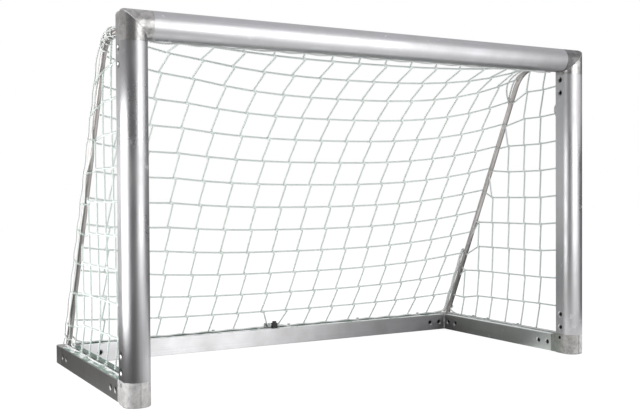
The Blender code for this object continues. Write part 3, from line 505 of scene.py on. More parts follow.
def channel_marks(nodes, given):
    """Masks of painted light and shade round a ground bar's channel, by a place's height and its offset from
    the channel's middle.
    """
    offset, height = given["Offset"], given["Height"]
    blotch = nodes.noise(given["Vector"], 1.0, 4.0, 0.6)
    uneven = nodes.plus(offset, nodes.times(nodes.minus(blotch, 0.5), UNEVEN_EDGE))
    mouth = nodes.ranged(nodes.math("ABSOLUTE", offset), *CHANNEL_SHADE_MOUTH)
    high = nodes.ranged(height, *(BAR_SIZE - value for value in CHANNEL_SHADE_DEPTH))
    return {
        "Rubbed": nodes.ranged(nodes.minus(blotch, given["Shift"]), 0.60, 0.54),
        "Soiled": nodes.ranged(blotch, 0.40, 0.60),
        "Behind": nodes.ranged(uneven, *LIT_TO_SHADED),
        "Top": nodes.ranged(height, *(BAR_SIZE - value for value in TOP_SKIN)),
        "Channel": nodes.times(mouth, high),
    }


# What makes each group of marks, and its inputs with their defaults, where a vector has none
MARKS = {
    "Drawn Metal": (drawn_marks, {"Along": None, "Vector": None, "Cloud Scale": 5.0}),
    "Cast Metal": (cast_marks, {"Vector": None}),
    "Twisted Cord": (cord_marks, {"Crest": 1.0, "Lengthwise": None, "Vector": None}),
    "Turned Steel": (steel_marks, {"Vector": None}),
    "Moulded Plastic": (plastic_marks, {"Vector": None}),
    "Oxide Haze": (painted_shade_marks, {"Along": 0.0, "Start": 0.0, "End": 1.0, "Drift": 0.5, "Vector": None}),
    "Channel Grime": (channel_marks, {"Offset": 0.0, "Height": 0.0, "Shift": 0.0, "Vector": None}),
}


def marks_group(name, make, inputs):
    group = bpy.data.node_groups.new(name, "ShaderNodeTree")
    for label, default in inputs.items():
        kind = "NodeSocketVector" if default is None else "NodeSocketFloat"
        socket = group.interface.new_socket(name=label, in_out="INPUT", socket_type=kind)
        if default is not None:
            socket.default_value = default
    made = make(Nodes(group), group.nodes.new("NodeGroupInput").outputs)
    for label in made:
        group.interface.new_socket(name=label, in_out="OUTPUT", socket_type="NodeSocketFloat")
    ends = group.nodes.new("NodeGroupOutput")
    for label, value in made.items():
        group.links.new(value, ends.inputs[label])
    return group


def new_material(name):
    material = bpy.data.materials.new(name)
    material.use_nodes = True
    return material, Nodes(material.node_tree)


def finished(nodes, inputs, height, strength, distance):
    """Feeds the sockets of the material's own shader, and bumps its surface by a height."""
    shader = nodes.tree.nodes["Principled BSDF"]
    bump = nodes.add("Bump", {"Height": height, "Strength": strength, "Distance": distance})
    for key, value in {**inputs, "Normal": bump[0]}.items():
        nodes.feed(shader.inputs[key], value)


def shade(color, factor):
    return tuple(min(max(channel * factor, 0.0), 1.0) for channel in color)


def tinted(color, tint):
    return tuple(channel * part for channel, part in zip(color, tint))


def painted_shade_over(nodes, color, axis, start, end, tint, drift=0.5):
    """Darkens a colour along one axis with painted shade, from start to end."""
    along = nodes.place()[axis]
    given = {"Along": along, "Start": start, "End": end, "Drift": drift, "Vector": nodes.vector()}
    return nodes.mix(nodes.marks("Oxide Haze", given)["Haze"], color, tint, "MULTIPLY")


def channel_light_and_shade(nodes, color, across):
    """Colour and metal share of a ground bar's top and channel, with painted light and shade.

    The top is whitish on the left or front of the channel as painted highlight, and greenish in and behind it
    as painted shade.
    """
    # The grime colour stands for painted shade in the channels and on the tops' far halves.
    grime = bpy.context.scene.goal_colors.channel
    place = nodes.place()
    if across == "X":
        middle = nodes.times(nodes.math("SIGN", place["X"]), POST_X)
        shift = nodes.times(place["X"], DARKER_LEFT_BY_X)
        stretch = (90.0, 22.0, 60.0)
    else:
        middle, shift = REAR_Y, 0.0
        stretch = (22.0, 90.0, 60.0)
    offset = nodes.minus(place[across], middle)
    given = {"Offset": offset, "Height": place["Z"], "Shift": shift, "Vector": nodes.vector(stretch)}
    marks = nodes.marks("Channel Grime", given)
    lit_half = nodes.mix(marks["Rubbed"], shade(grime, 2.2), (0.93, 0.95, 0.94))
    shaded_half = nodes.mix(marks["Soiled"], shade(grime, 2.0), shade(grime, 0.7))
    top = nodes.mix(marks["Behind"], lit_half, shaded_half)
    if across == "X":
        # Painted shade: a line along the left bar's outer top edge.
        left_edge = nodes.ranged(offset, *(value - BAR_HALF for value in SHADED_EDGE))
        rim = nodes.times(left_edge, nodes.ranged(place["X"], 0.2, -0.2, 0.0, 0.85))
        top = nodes.mix(rim, top, shade(grime, 0.8))
    color = nodes.mix(marks["Channel"], nodes.mix(marks["Top"], color, top), grime)
    return color, nodes.ranged(marks["Top"], 0.0, 1.0, 1.0, 0.35)


def drawn_metal(name, color, axis, roughness, lined, cloud_scale=5.0, painted_shades=(), across=None):
    """Drawn aluminium with die lines along one axis. A ground bar also names the axis across its channel."""
    material, nodes = new_material(name)
    stretch = [0.9 if letter == axis else 260.0 for letter in "XYZ"]
    given = {"Along": nodes.vector(stretch), "Vector": nodes.vector(), "Cloud Scale": cloud_scale}
    marks = nodes.marks("Drawn Metal", given)
    grained = nodes.mix(marks["Lines"], shade(color, 1 - lined), shade(color, 1 + lined))
    clouded = nodes.mix(marks["Clouds"], tinted(shade(color, 0.86), (1.0, 0.985, 0.97)), grained)
    finish = nodes.mix(marks["Scuffs"], clouded, shade(color, 1.28))
    metallic = 1.0
    # Painted shade, darker along an axis.
    for shade_ramp in painted_shades:
        finish = painted_shade_over(nodes, finish, *shade_ramp)
    # Ground bars: painted light and shade on their tops and channels.
    if across:
        finish, metallic = channel_light_and_shade(nodes, finish, across)
    rough = nodes.ranged(marks["Clouds"], 0.0, 1.0, roughness + 0.09, roughness - 0.04)
    along = [1.0 if letter == axis else 0.0 for letter in "XYZ"]
    inputs = {
        "Base Color": finish,
        "Roughness": nodes.plus(rough, nodes.times(marks["Scuffs"], 0.14)),
        "Metallic": metallic,
        "Anisotropic": 0.75,
        "Anisotropic Rotation": 0.25,
        "Tangent": nodes.add(
            "VectorTransform", {0: along}, vector_type="VECTOR", convert_from="OBJECT", convert_to="WORLD"
        )[0],
    }
    finished(nodes, inputs, marks["Height"], 0.20, 0.0006)
    return material


def cast_metal(name, color, roughness, metallic=1.0, painted_lift=1.0, painted_shades=(), arm_shade=None):
    """Sand-cast aluminium, mottled by weather and handling. It may take painted shade along an axis, painted
    shade on the right top casting's crossbar arm, and a lift that makes it lighter as painted highlight.
    """
    material, nodes = new_material(name)
    # The lift makes the colour lighter, as painted highlight on the mitre bead.
    color = shade(color, painted_lift)
    marks = nodes.marks("Cast Metal", {"Vector": nodes.vector()})
    mottled = nodes.mix(marks["Mottle"], shade(color, 0.46), shade(color, 1.24))
    stain = tinted(shade(color, 0.75), (1.04, 1.0, 0.97))
    stained = nodes.mix(nodes.times(marks["Stain"], 0.55), mottled, stain)
    finish = nodes.mix(marks["Pits"], stained, shade(color, 0.30))
    # Painted shade, darker along an axis.
    for shade_ramp in painted_shades:
        finish = painted_shade_over(nodes, finish, *shade_ramp)
    # Painted shade on the crossbar arm of the right top casting.
    if arm_shade:
        place = nodes.place()
        reach = nodes.minus(nodes.math("ABSOLUTE", place["X"]), POST_X)
        drop = nodes.minus(place["Z"], BEAM_Z)
        arm = nodes.ranged(nodes.minus(drop, reach), -0.0006, 0.0006)
        right = nodes.ranged(place["X"], 0.0, 0.2)
        finish = nodes.mix(nodes.times(arm, right), finish, arm_shade, "MULTIPLY")
    rough = nodes.ranged(marks["Mottle"], 0.0, 1.0, roughness + 0.10, roughness - 0.06)
    inputs = {"Base Color": finish, "Roughness": rough, "Metallic": metallic}
    finished(nodes, inputs, marks["Height"], 0.45, 0.0009)
    return material


def plain_steel(name, color, roughness):
    """Turned steel with grime, and painted shade on the outer face of the left ground bar."""
    material, nodes = new_material(name)
    marks = nodes.marks("Turned Steel", {"Vector": nodes.vector()})
    place = nodes.place()
    worn = nodes.mix(marks["Grime"], color, shade(color, 0.72))
    outside = nodes.ranged(place["X"], *(-POST_X - value for value in SHADED_OUTSIDE))
    # Painted shade on the bolts of the left bar's outer face.
    in_shade = nodes.times(outside, nodes.ranged(place["Z"], *SHADED_BELOW))
    inputs = {
        "Base Color": nodes.mix(in_shade, worn, shade(color, 0.30)),
        "Roughness": nodes.ranged(marks["Grime"], 0.0, 1.0, roughness, roughness + 0.16),
        "Metallic": 1.0,
    }
    finished(nodes, inputs, marks["Height"], 0.15, 0.0003)
    return material


def twisted_cord(name, color, valley_shade):
    """Pale polyethylene cord, with painted shade between its strands."""
    material, nodes = new_material(name)
    crest = nodes.add("Attribute", attribute_name="crest")["Fac"]
    lengthwise = nodes.vector((14.0, 90.0, 1.0), "UV")
    given = {"Crest": crest, "Lengthwise": lengthwise, "Vector": nodes.vector()}
    marks = nodes.marks("Twisted Cord", given)
    # Painted shade in the valleys between the strands.
    clean = nodes.mix(marks["Valley"], color, tinted(shade(color, valley_shade), (0.96, 1.03, 0.99)))
    soil = tinted(shade(color, 0.70), (0.98, 1.0, 0.94))
    inputs = {
        "Base Color": nodes.mix(nodes.times(marks["Dirt"], 0.30), clean, soil),
        "Roughness": nodes.ranged(marks["Height"], 0.3, 0.7, 0.46, 0.64),
        "Specular IOR Level": 0.4,
    }
    finished(nodes, inputs, marks["Height"], 0.35, 0.0004)
    return material


def moulded_plastic(name, color, roughness):
    """Moulded plastic, paler and smoother where it is rubbed."""
    material, nodes = new_material(name)
    marks = nodes.marks("Moulded Plastic", {"Vector": nodes.vector()})
    inputs = {
        "Base Color": nodes.mix(marks["Rubbed"], color, shade(color, 1.6)),
        "Roughness": nodes.ranged(marks["Rubbed"], 0.0, 1.0, roughness, roughness - 0.12),
    }
    finished(nodes, inputs, marks["Height"], 0.25, 0.0002)
    return material


# For each material: what makes it, the colour it takes, and its other values
MATERIALS = {
    "post_aluminium": (drawn_metal, "profile", ("Z", 0.28, 0.10)),
    "crossbar_aluminium": (drawn_metal, "profile", ("X", 0.33, 0.07, 7.0)),
    # Side bars: painted shade along the bar and on the left one, and painted light and shade on the tops.
    "side_bar_aluminium": (drawn_metal, "side_bar", ("Y", 0.44, 0.10, 5.0, SIDE_BAR_SHADE, "X")),
    # Rear bar: lighter colour as painted light, with painted shade towards its right end.
    "rear_bar_aluminium": (drawn_metal, "rear_bar", ("X", 0.50, 0.07, 5.0, REAR_BAR_SHADE, "Y")),
    # Stays: painted shade on the right stay's outer half.
    "stay_tube": (drawn_metal, "stay", ("Z", 0.38, 0.10, 9.0, STAY_SHADE)),
    # Top corners: painted shade on the right casting's crossbar arm.
    "cast_corner": (cast_metal, "casting", (0.31, 1.0, 1.0, (), (0.52, 0.52, 0.53))),
    "cast_foot_left": (cast_metal, "foot", (0.50, 0.65)),
    # Right foot: painted shade on its inner side, and a greener tint towards its neck.
    "cast_foot_right": (cast_metal, "foot", (0.50, 0.65, 1.0, RIGHT_FOOT_SHADE_AND_TINT)),
    # The bead is lighter than the casting, as painted highlight on its raised line.
    "mitre_bead": (cast_metal, "casting", (0.30, 1.0, 1.45)),
    "bolt_steel": (plain_steel, "screw", (0.32,)),
    # Socket faces near black as painted shade.
    "bolt_socket": (plain_steel, "socket", (0.50,)),
    # Cords: painted shade in the valleys between the strands.
    "net_cord": (twisted_cord, "cord", (0.56,)),
    "border_cord": (twisted_cord, "rope", (0.70,)),
    "lock_cord": (twisted_cord, "lock_cord", (0.30,)),
    "hook_plastic": (moulded_plastic, "hook", (0.50,)),
    "lock_plastic": (moulded_plastic, "plastic", (0.42,)),
}


def material_for(name):
    """The material of that name, made when first asked for."""
    make, color, values = MATERIALS[name]
    color = tuple(getattr(bpy.context.scene.goal_colors, color))
    return bpy.data.materials.get(name) or make(name, color, *values)


# Shaping helpers


def clamp(value):
    return min(max(value, 0), 1)


def ease(value):
    """Rises smoothly from 0 at 0 to 1 at 1."""
    value = clamp(value)
    return value * value * (3 - 2 * value)


def spread(start, end, steps):
    return [start + (end - start) * step / steps for step in range(steps + 1)]


def everything(bm):
    return bm.verts[:] + bm.edges[:] + bm.faces[:]


def take(bm, place=None):
    """Places a shape, closes its seams and turns its faces outwards."""
    bmesh.ops.remove_doubles(bm, verts=bm.verts[:], dist=1e-6)
    bmesh.ops.recalc_face_normals(bm, faces=bm.faces[:])
    if place is not None:
        bmesh.ops.transform(bm, matrix=place, verts=bm.verts[:])
    return bm


def linked(name, mesh):
    obj = bpy.data.objects.new(name, mesh)
    bpy.context.scene.collection.objects.link(obj)
    return obj


def mesh_from(bm, name):
    mesh = bpy.data.meshes.new(name)
    bm.to_mesh(mesh)
    bm.free()
    return mesh


def object_from(bm, name, material, sharp=34, weighted=True):
    """Object of a shape that is in place, smooth up to the sharp angle."""
    mesh = mesh_from(bm, name)
    mesh.shade_smooth()
    mesh.set_sharp_from_angle(angle=math.radians(sharp))
    mesh.materials.append(material_for(material))
    obj = linked(name, mesh)
    if weighted:
        normals = obj.modifiers.new("even_shading", "WEIGHTED_NORMAL")
        normals.keep_sharp = True
        normals.weight = 80
    return obj


def fit(obj, slot, *nodes):
    """Puts a piece on the goal's body and hides the solids it stands for."""
    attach(obj, FRAME_BODY)
    if nodes:
        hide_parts(*nodes)


def axes_at(origin, x_axis, y_axis):
    z_axis = Vector(x_axis).cross(y_axis)
    return Matrix.Translation(origin) @ Matrix((x_axis, y_axis, z_axis)).transposed().to_4x4()


def drop_notch(bm, half_across, low, high):
    """Cuts a rectangular notch out of a flat section, from v = low to v = high."""
    for value, normal in ((half_across, X_AXIS), (-half_across, X_AXIS), (low, Y_AXIS), (high, Y_AXIS)):
        bmesh.ops.bisect_plane(bm, geom=everything(bm), plane_co=normal * value, plane_no=normal)
    inside = []
    for face in bm.faces:
        center = face.calc_center_median()
        if abs(center.x) < half_across and low < center.y < high:
            inside.append(face)
    bmesh.ops.delete(bm, geom=inside, context="FACES")


def cut_channel(bm, back):
    drop_notch(bm, CHANNEL_WIDTH / 2, back - CHANNEL_DEPTH, back - CHANNEL_LIP)
    drop_notch(bm, CHANNEL_MOUTH / 2, back - CHANNEL_LIP - 1e-5, back + 1e-4)


def round_section(bm, wanted):
    """Rounds the wanted corners of a flat section."""
    corners = [vert for vert in bm.verts if wanted(vert.co) and len(vert.link_edges) == 2]
    bmesh.ops.bevel(
        bm,
        geom=corners,
        affect="VERTICES",
        offset=EDGE_ROUND,
        segments=3,
        profile=0.5,
        material=-1,
    )


def oval_section(channel):
    """Flat section of the oval profile in the XY plane: an elliptical nose at -Y, a step and the flats."""
    bm = bmesh.new()
    bmesh.ops.create_circle(bm, cap_ends=True, segments=2 * NOSE_SEGMENTS, radius=1)
    bmesh.ops.scale(bm, vec=(HALF_WIDTH, PROFILE_DEPTH - FLAT_LENGTH, 1), verts=bm.verts[:])
    bmesh.ops.translate(bm, vec=(0, FRONT, 0), verts=bm.verts[:])
    bmesh.ops.bisect_plane(bm, geom=everything(bm), plane_co=(0, FRONT, 0), plane_no=Y_AXIS, clear_outer=True)
    for along in (FRONT + STEP_LENGTH, BACK):
        reach = max(vert.co.y for vert in bm.verts)
        rim = [edge for edge in bm.edges if all(vert.co.y > reach - 1e-6 for vert in edge.verts)]
        made = bmesh.ops.extrude_edge_only(bm, edges=rim)["geom"]
        for vert in [one for one in made if isinstance(one, bmesh.types.BMVert)]:
            vert.co.x = math.copysign(FLAT_HALF, vert.co.x)
            vert.co.y = along
    round_section(bm, lambda co: co.y > BACK - 1e-6)
    if channel:
        cut_channel(bm, BACK)
    return bm


def bar_section(channel):
    """Flat section of the square bar in the XY plane, its channel at +Y."""
    bm = bmesh.new()
    bmesh.ops.create_grid(bm, x_segments=1, y_segments=1, size=BAR_HALF)
    round_section(bm, lambda co: True)
    if channel:
        cut_channel(bm, BAR_HALF)
    return bm


def drawn_out(bm, length, place=None):
    """Draws a flat section out along Z into a closed bar, and places it."""
    made = bmesh.ops.extrude_face_region(bm, geom=bm.faces[:])["geom"]
    moved = [one for one in made if isinstance(one, bmesh.types.BMVert)]
    bmesh.ops.translate(bm, vec=(0, 0, length), verts=moved)
    bmesh.ops.dissolve_limit(bm, angle_limit=0.002, verts=bm.verts[:], edges=bm.edges[:])
    return take(bm, place)


def turned(profile, segments=32):
    """Closed turned body about Z: the profile's (radius, height) points spun round, from axis to axis."""
    bm = bmesh.new()
    verts = [bm.verts.new((radius, 0, height)) for radius, height in profile]
    edges = [bm.edges.new(pair) for pair in zip(verts, verts[1:])]
    bmesh.ops.spin(
        bm,
        geom=verts + edges,
        cent=(0, 0, 0),
        axis=Z_AXIS,
        angle=2 * math.pi,
        steps=segments,
        use_merge=True,
    )
    return take(bm)


def ring(bm, sides, radius, place):
    """Adds a round of edges at a place, and gives them back."""
    verts = bmesh.ops.create_circle(bm, cap_ends=False, segments=sides, radius=radius)["verts"]
    bmesh.ops.transform(bm, matrix=place, verts=verts)
    return [edge for edge in bm.edges if edge.verts[0] in verts and edge.verts[1] in verts]


def skinned(bm, rings, closed=False):
    """Spans a skin from ring to ring: back to the first one if closed, and with both ends filled if not."""
    for one, two in zip(rings, rings[1:] + (rings[:1] if closed else [])):
        bmesh.ops.bridge_loops(bm, edges=one + two)
    if not closed:
        bmesh.ops.holes_fill(bm, edges=rings[0] + rings[-1])
    return bm


def sweep(points, radius, sides=28):
    """Round bar along a line in a plane x = constant."""
    bm = bmesh.new()
    rings = []
    for before, point, after in zip(points[:1] + points, points, points[1:] + points[-1:]):
        along = (after - before).normalized()
        rings.append(ring(bm, sides, radius, axes_at(point, X_AXIS, along.cross(X_AXIS))))
    return take(skinned(bm, rings))


def join_into(bm, other):
    """Adds the shape in other to bm."""
    mesh = mesh_from(other, "joined")
    bm.from_mesh(mesh)
    bpy.data.meshes.remove(mesh)


def drill(cuts, radius, depth, place, top=0.004, segments=32):
    """Adds a round cutter to the cuts, from a height over its place down to a depth below it."""
    profile = [(0, top), (radius, top), (radius, -depth), (0, -depth)]
    join_into(cuts, take(turned(profile, segments), place))


def boolean(bm, tool, operation="DIFFERENCE"):
    """Result of cutting or joining two closed shapes."""
    pair = [linked("shape", mesh_from(shape, "shape")) for shape in (bm, tool)]
    modifier = pair[0].modifiers.new("cut", "BOOLEAN")
    modifier.operation = operation
    modifier.object = pair[1]
    modifier.solver = "EXACT"
    bpy.context.view_layer.update()
    graph = bpy.context.evaluated_depsgraph_get()
    result = bmesh.new()
    result.from_mesh(pair[0].evaluated_get(graph).to_mesh())
    for obj in pair:
        mesh = obj.data
        bpy.data.objects.remove(obj)
        bpy.data.meshes.remove(mesh)
    bmesh.ops.remove_doubles(result, verts=result.verts[:], dist=1e-6)
    return result


# Metal pieces


def screw_rows(sign):
    """Rows of two screws on one side: name, first centre, step to the next, direction out, bolt's length."""
    inward = X_AXIS * -sign
    post, bar = sign * (POST_X - FLAT_HALF), sign * (POST_X - BAR_HALF)
    beam_x, rear_x = (sign * (POST_X - arm - SCREW_INSET) for arm in (TOP_ARM, CORNER_ARM))
    return (
        ("foot", (post, SCREW_LINE, FOOT_TOP + FOOT_SCREW_RISE), Z_AXIS, inward, 2 * FLAT_HALF),
        ("post", (post, SCREW_LINE, BEAM_Z - TOP_ARM - POST_SCREW_DROP), -Z_AXIS, inward, 2 * FLAT_HALF),
        ("crossbar", (beam_x, SCREW_LINE, BEAM_Z - FLAT_HALF), inward, -Z_AXIS, 0),
        ("neck", (bar, POST_Y + NECK_SEAM + SCREW_INSET, BAR_HALF), Y_AXIS, inward, BAR_SIZE),
        ("side_bar", (bar, REAR_Y - CORNER_ARM - SCREW_INSET, BAR_HALF), -Y_AXIS, inward, BAR_SIZE),
        ("rear_bar", (rear_x, REAR_Y - BAR_HALF, BAR_HALF), inward, -Y_AXIS, 0),
    )


def screw_places(signs, *names):
    """Places of screw heads in the rows of those names, or in all rows, Z out of the metal."""
    places = []
    for sign in signs:
        for name, first, step, out, through in screw_rows(sign):
            if names and name not in names:
                continue
            across = Y_AXIS if out.z else Z_AXIS
            for number in range(2):
                center = Vector(first) + step * SCREW_PITCH * number
                places.append(axes_at(center, across, out.cross(across)))
                if through:
                    places.append(axes_at(center - out * through, across, (-out).cross(across)))
    return places


def with_screw_holes(bm, signs, *names):
    """Cuts dished, countersunk holes into a piece."""
    profile = [
        (0, OVER_CUT),
        (DISH_RADIUS, OVER_CUT),
        (DISH_RADIUS, -0.0003),
        (HEAD_RADIUS + HEAD_PLAY, -DISH_DEPTH),
        (SHANK_HOLE, -CONE_FOOT),
        (SHANK_HOLE, -SCREW_HOLE_DEPTH),
        (0, -SCREW_HOLE_DEPTH),
    ]
    holes = bmesh.new()
    for place in screw_places(signs, *names):
        join_into(holes, take(turned(profile), place))
    return boolean(bm, holes)


def screw_head():
    """Countersunk head, dished towards a hexagon socket. Faces in the socket take the second material, near
    black as painted shade.
    """
    bm = bmesh.new()
    rings = []
    for radius, depth, sides in (
        (SHANK_RADIUS, SCREW_DEPTH, 32),
        (SHANK_RADIUS + 0.0001, CONE_FOOT - 0.0001, 32),
        (HEAD_RADIUS, DISH_DEPTH + 0.0004, 32),
        (HEAD_RADIUS - 0.0004, DISH_DEPTH, 32),
        (SOCKET_RIM, DISH_DEPTH + 0.0016, 32),
        (0.0070, DISH_DEPTH + 0.0022, 32),
        (0.0058, DISH_DEPTH + 0.0024, 6),
        (0.0056, SOCKET_FLOOR, 6),
    ):
        rings.append(ring(bm, sides, radius, Matrix.Translation((0, 0, -depth))))
    skinned(bm, rings)
    for face in bm.faces:
        inside = max(Vector(vert.co[:2]).length for vert in face.verts) < SOCKET_RIM + 0.0001
        face.material_index = int(inside and face.calc_center_median().z > -SOCKET_FLOOR - 0.0005)
    return take(bm)


def section_rim(section):
    """Points of a flat section's rim, in order."""
    rim = [edge for edge in section.edges if edge.is_boundary]
    links = {}
    for edge in rim:
        first, second = edge.verts
        links.setdefault(first, []).append(second)
        links.setdefault(second, []).append(first)
    start = rim[0].verts[0]
    order, last, here = [start], None, start
    while True:
        onward = next(vert for vert in links[here] if vert is not last)
        if onward is start:
            break
        order.append(onward)
        last, here = here, onward
    points = [(vert.co.x, vert.co.y) for vert in order]
    section.free()
    return points


def elbow_piece(section, arm, radius_at):
    """Mitred elbow: the section's rim along arm one (local X), round the corner and along arm two (local Y).

    A section's X points to the inside of the corner and its Y along local Z.
    """
    points = section_rim(section)
    loops = [[(arm, u, v) for u, v in points]]
    for angle in spread(0, math.pi / 2, ELBOW_STEPS):
        places = []
        for u, v in points:
            radius = radius_at(u)
            places.append((u + radius * (1 - math.sin(angle)), u + radius * (1 - math.cos(angle)), v))
        loops.append(places)
    loops.append([(u, arm, v) for u, v in points])
    bm = bmesh.new()
    rings = []
    for places in loops:
        verts = [bm.verts.new(place) for place in places]
        rings.append([bm.edges.new(pair) for pair in zip(verts[-1:] + verts, verts)])
    return take(skinned(bm, rings))


def top_radius(u):
    """Radius of a top corner round its mitre, by how far inside it lies."""
    return TOP_INNER_ROUND + TOP_OUTER_ROUND * clamp((-u / HALF_WIDTH - 0.6) / 0.4)


def top_corner_place(sign):
    axes = (X_AXIS, -Z_AXIS) if sign < 0 else (-Z_AXIS, -X_AXIS)
    return axes_at((sign * POST_X, POST_Y, BEAM_Z), *axes)


def top_corner_piece(side, sign):
    bm = take(elbow_piece(oval_section(False), TOP_ARM - GAP, top_radius), top_corner_place(sign))
    cuts = bmesh.new()
    place = axes_at((sign * POST_X, POST_BACK, BEAM_Z), X_AXIS, -Z_AXIS)
    drill(cuts, STAY_RADIUS + STAY_PLAY, STAY_IN_TOP + SOCKET_SPARE, place)
    place = Matrix.Translation((sign * POST_X, POST_BACK - GRUB_BACK, BEAM_Z + FLAT_HALF))
    drill(cuts, GRUB_HOLE, GRUB_DEPTH_TOP, place, segments=16)
    return object_from(boolean(bm, cuts), f"top_corner_{side}_casting", "cast_corner")


def mitre_bead_piece(side, sign):
    """Thin raised bead where the two arms of a top corner meet, all round the mitre."""
    line = []
    for u, v in section_rim(oval_section(False)):
        if not line or (Vector((u, u, v)) - line[-1]).length > BEAD_SPACING:
            line.append(Vector((u, u, v)))
    for point in line:
        point.x = point.y = point.x + top_radius(point.x) * (1 - math.sqrt(0.5))
    bm = bmesh.new()
    rings = []
    for before, point, after in zip(line[-1:] + line[:-1], line, line[1:] + line[:1]):
        along = (after - before).normalized()
        out = (point - along * point.dot(along)).normalized()
        rings.append(ring(bm, 6, BEAD_RADIUS, axes_at(point, out, along.cross(out))))
    bm = take(skinned(bm, rings, closed=True), top_corner_place(sign))
    return object_from(bm, f"mitre_bead_{side}", "mitre_bead", 60, False)


def rear_corner_piece(side, sign):
    axes = (-Y_AXIS, X_AXIS) if sign < 0 else (-X_AXIS, -Y_AXIS)
    bm = elbow_piece(bar_section(False), CORNER_ARM - GAP, lambda u: REAR_CORNER_ROUND)
    bm = take(bm, axes_at((sign * POST_X, REAR_Y, BAR_HALF), *axes))
    cuts = bmesh.new()
    place = axes_at(stay_landing() + X_AXIS * sign * POST_X, X_AXIS, (-stay_slope()).cross(X_AXIS))
    drill(cuts, STAY_RADIUS + STAY_PLAY, STAY_IN_CORNER + SOCKET_SPARE, place, top=SLANT_SPARE)
    place = axes_at((sign * POST_X, REAR_Y + BAR_HALF, BAR_SIZE - GRUB_DROP), Z_AXIS, X_AXIS)
    drill(cuts, GRUB_HOLE, GRUB_DEPTH_CORNER, place, segments=16)
    return object_from(boolean(bm, cuts), f"rear_corner_{side}_casting", "cast_corner")


def foot_piece(side, sign):
    """Foot with its rounded sole, its nose groove, its plain hole and its neck."""
    bm = drawn_out(oval_section(False), FOOT_TOP - GAP)
    sole = [edge for edge in bm.edges if all(vert.co.z < 1e-6 for vert in edge.verts)]
    bmesh.ops.bevel(
        bm,
        geom=sole,
        affect="EDGES",
        offset=SOLE_ROUND,
        segments=5,
        profile=0.5,
        clamp_overlap=True,
        material=-1,
    )
    place = axes_at((0, NECK_START, BAR_HALF), -X_AXIS, Z_AXIS)
    bm = boolean(bm, drawn_out(bar_section(False), NECK_SEAM - GAP - NECK_START, place), "UNION")
    cuts = bmesh.new()
    groove = Matrix.Translation((0, -BACK, GROOVE_MIDDLE)) @ Matrix.Diagonal((*GROOVE_SIZE, 1))
    bmesh.ops.create_cube(cuts, size=1, matrix=groove)
    place = axes_at((0, FOOT_HOLE_BACK, FOOT_HOLE_HEIGHT), Y_AXIS, Z_AXIS)
    drill(cuts, FOOT_HOLE_RADIUS, PROFILE_WIDTH, place, top=PROFILE_WIDTH)
    bm = boolean(bm, cuts)
    bmesh.ops.translate(bm, vec=(sign * POST_X, POST_Y, 0), verts=bm.verts[:])
    return object_from(bm, f"foot_{side}_casting", f"cast_foot_{side}")


def stay_landing():
    return Vector((0, REAR_Y - STAY_SETBACK, BAR_SIZE))


def stay_corner():
    """Where the two straight stretches of a stay would meet."""
    return Vector((0, POST_Y + STAY_REACH, BEAM_Z))


def stay_slope():
    return (stay_landing() - stay_corner()).normalized()


def stay_line(steps=16):
    """Centre line of a stay in the plane x = 0."""
    slope = stay_slope()
    turn = math.acos(slope.dot(Y_AXIS))
    center = stay_corner() - Y_AXIS * STAY_BEND_RADIUS * math.tan(turn / 2) - Z_AXIS * STAY_BEND_RADIUS
    points = [Vector((0, POST_BACK - STAY_IN_TOP, BEAM_Z))]
    for angle in spread(0, turn, steps):
        points.append(center + STAY_BEND_RADIUS * Vector((0, math.sin(angle), math.cos(angle))))
    return points + [stay_landing() + slope * STAY_IN_CORNER]


def stay_y(line, z):
    """Y of the stay's line at a height."""
    return float(np.interp(-z, [-point.z for point in line], [point.y for point in line]))


def stay_height(line, y):
    """Height of the stay's line at a Y."""
    return float(np.interp(y, [point.y for point in line], [point.z for point in line]))


# Cords


def resample(points, step):
    """Points at even steps along a chain of points."""
    chain = np.array([list(point) for point in points], float)
    lengths = np.r_[0, np.cumsum(np.linalg.norm(np.diff(chain, axis=0), axis=1))]
    count = max(int(round(lengths[-1] / step)), 2)
    at = np.linspace(0, lengths[-1], count + 1)
    return np.stack([np.interp(at, lengths, chain[:, axis]) for axis in range(3)], axis=1), at


def smooth_through(points, steps=8):
    """Catmull-Rom curve through the points."""
    ends = [2 * points[0] - points[1], *points, 2 * points[-1] - points[-2]]
    curve = []
    for a, b, c, d in zip(ends, ends[1:], ends[2:], ends[3:]):
        for step in range(steps):
            t = step / steps
            bend = 2 * a - 5 * b + 4 * c - d
            curve.append(0.5 * (2 * b + (c - a) * t + bend * t**2 + (3 * b - a - 3 * c + d) * t**3))
    return curve + [points[-1]]


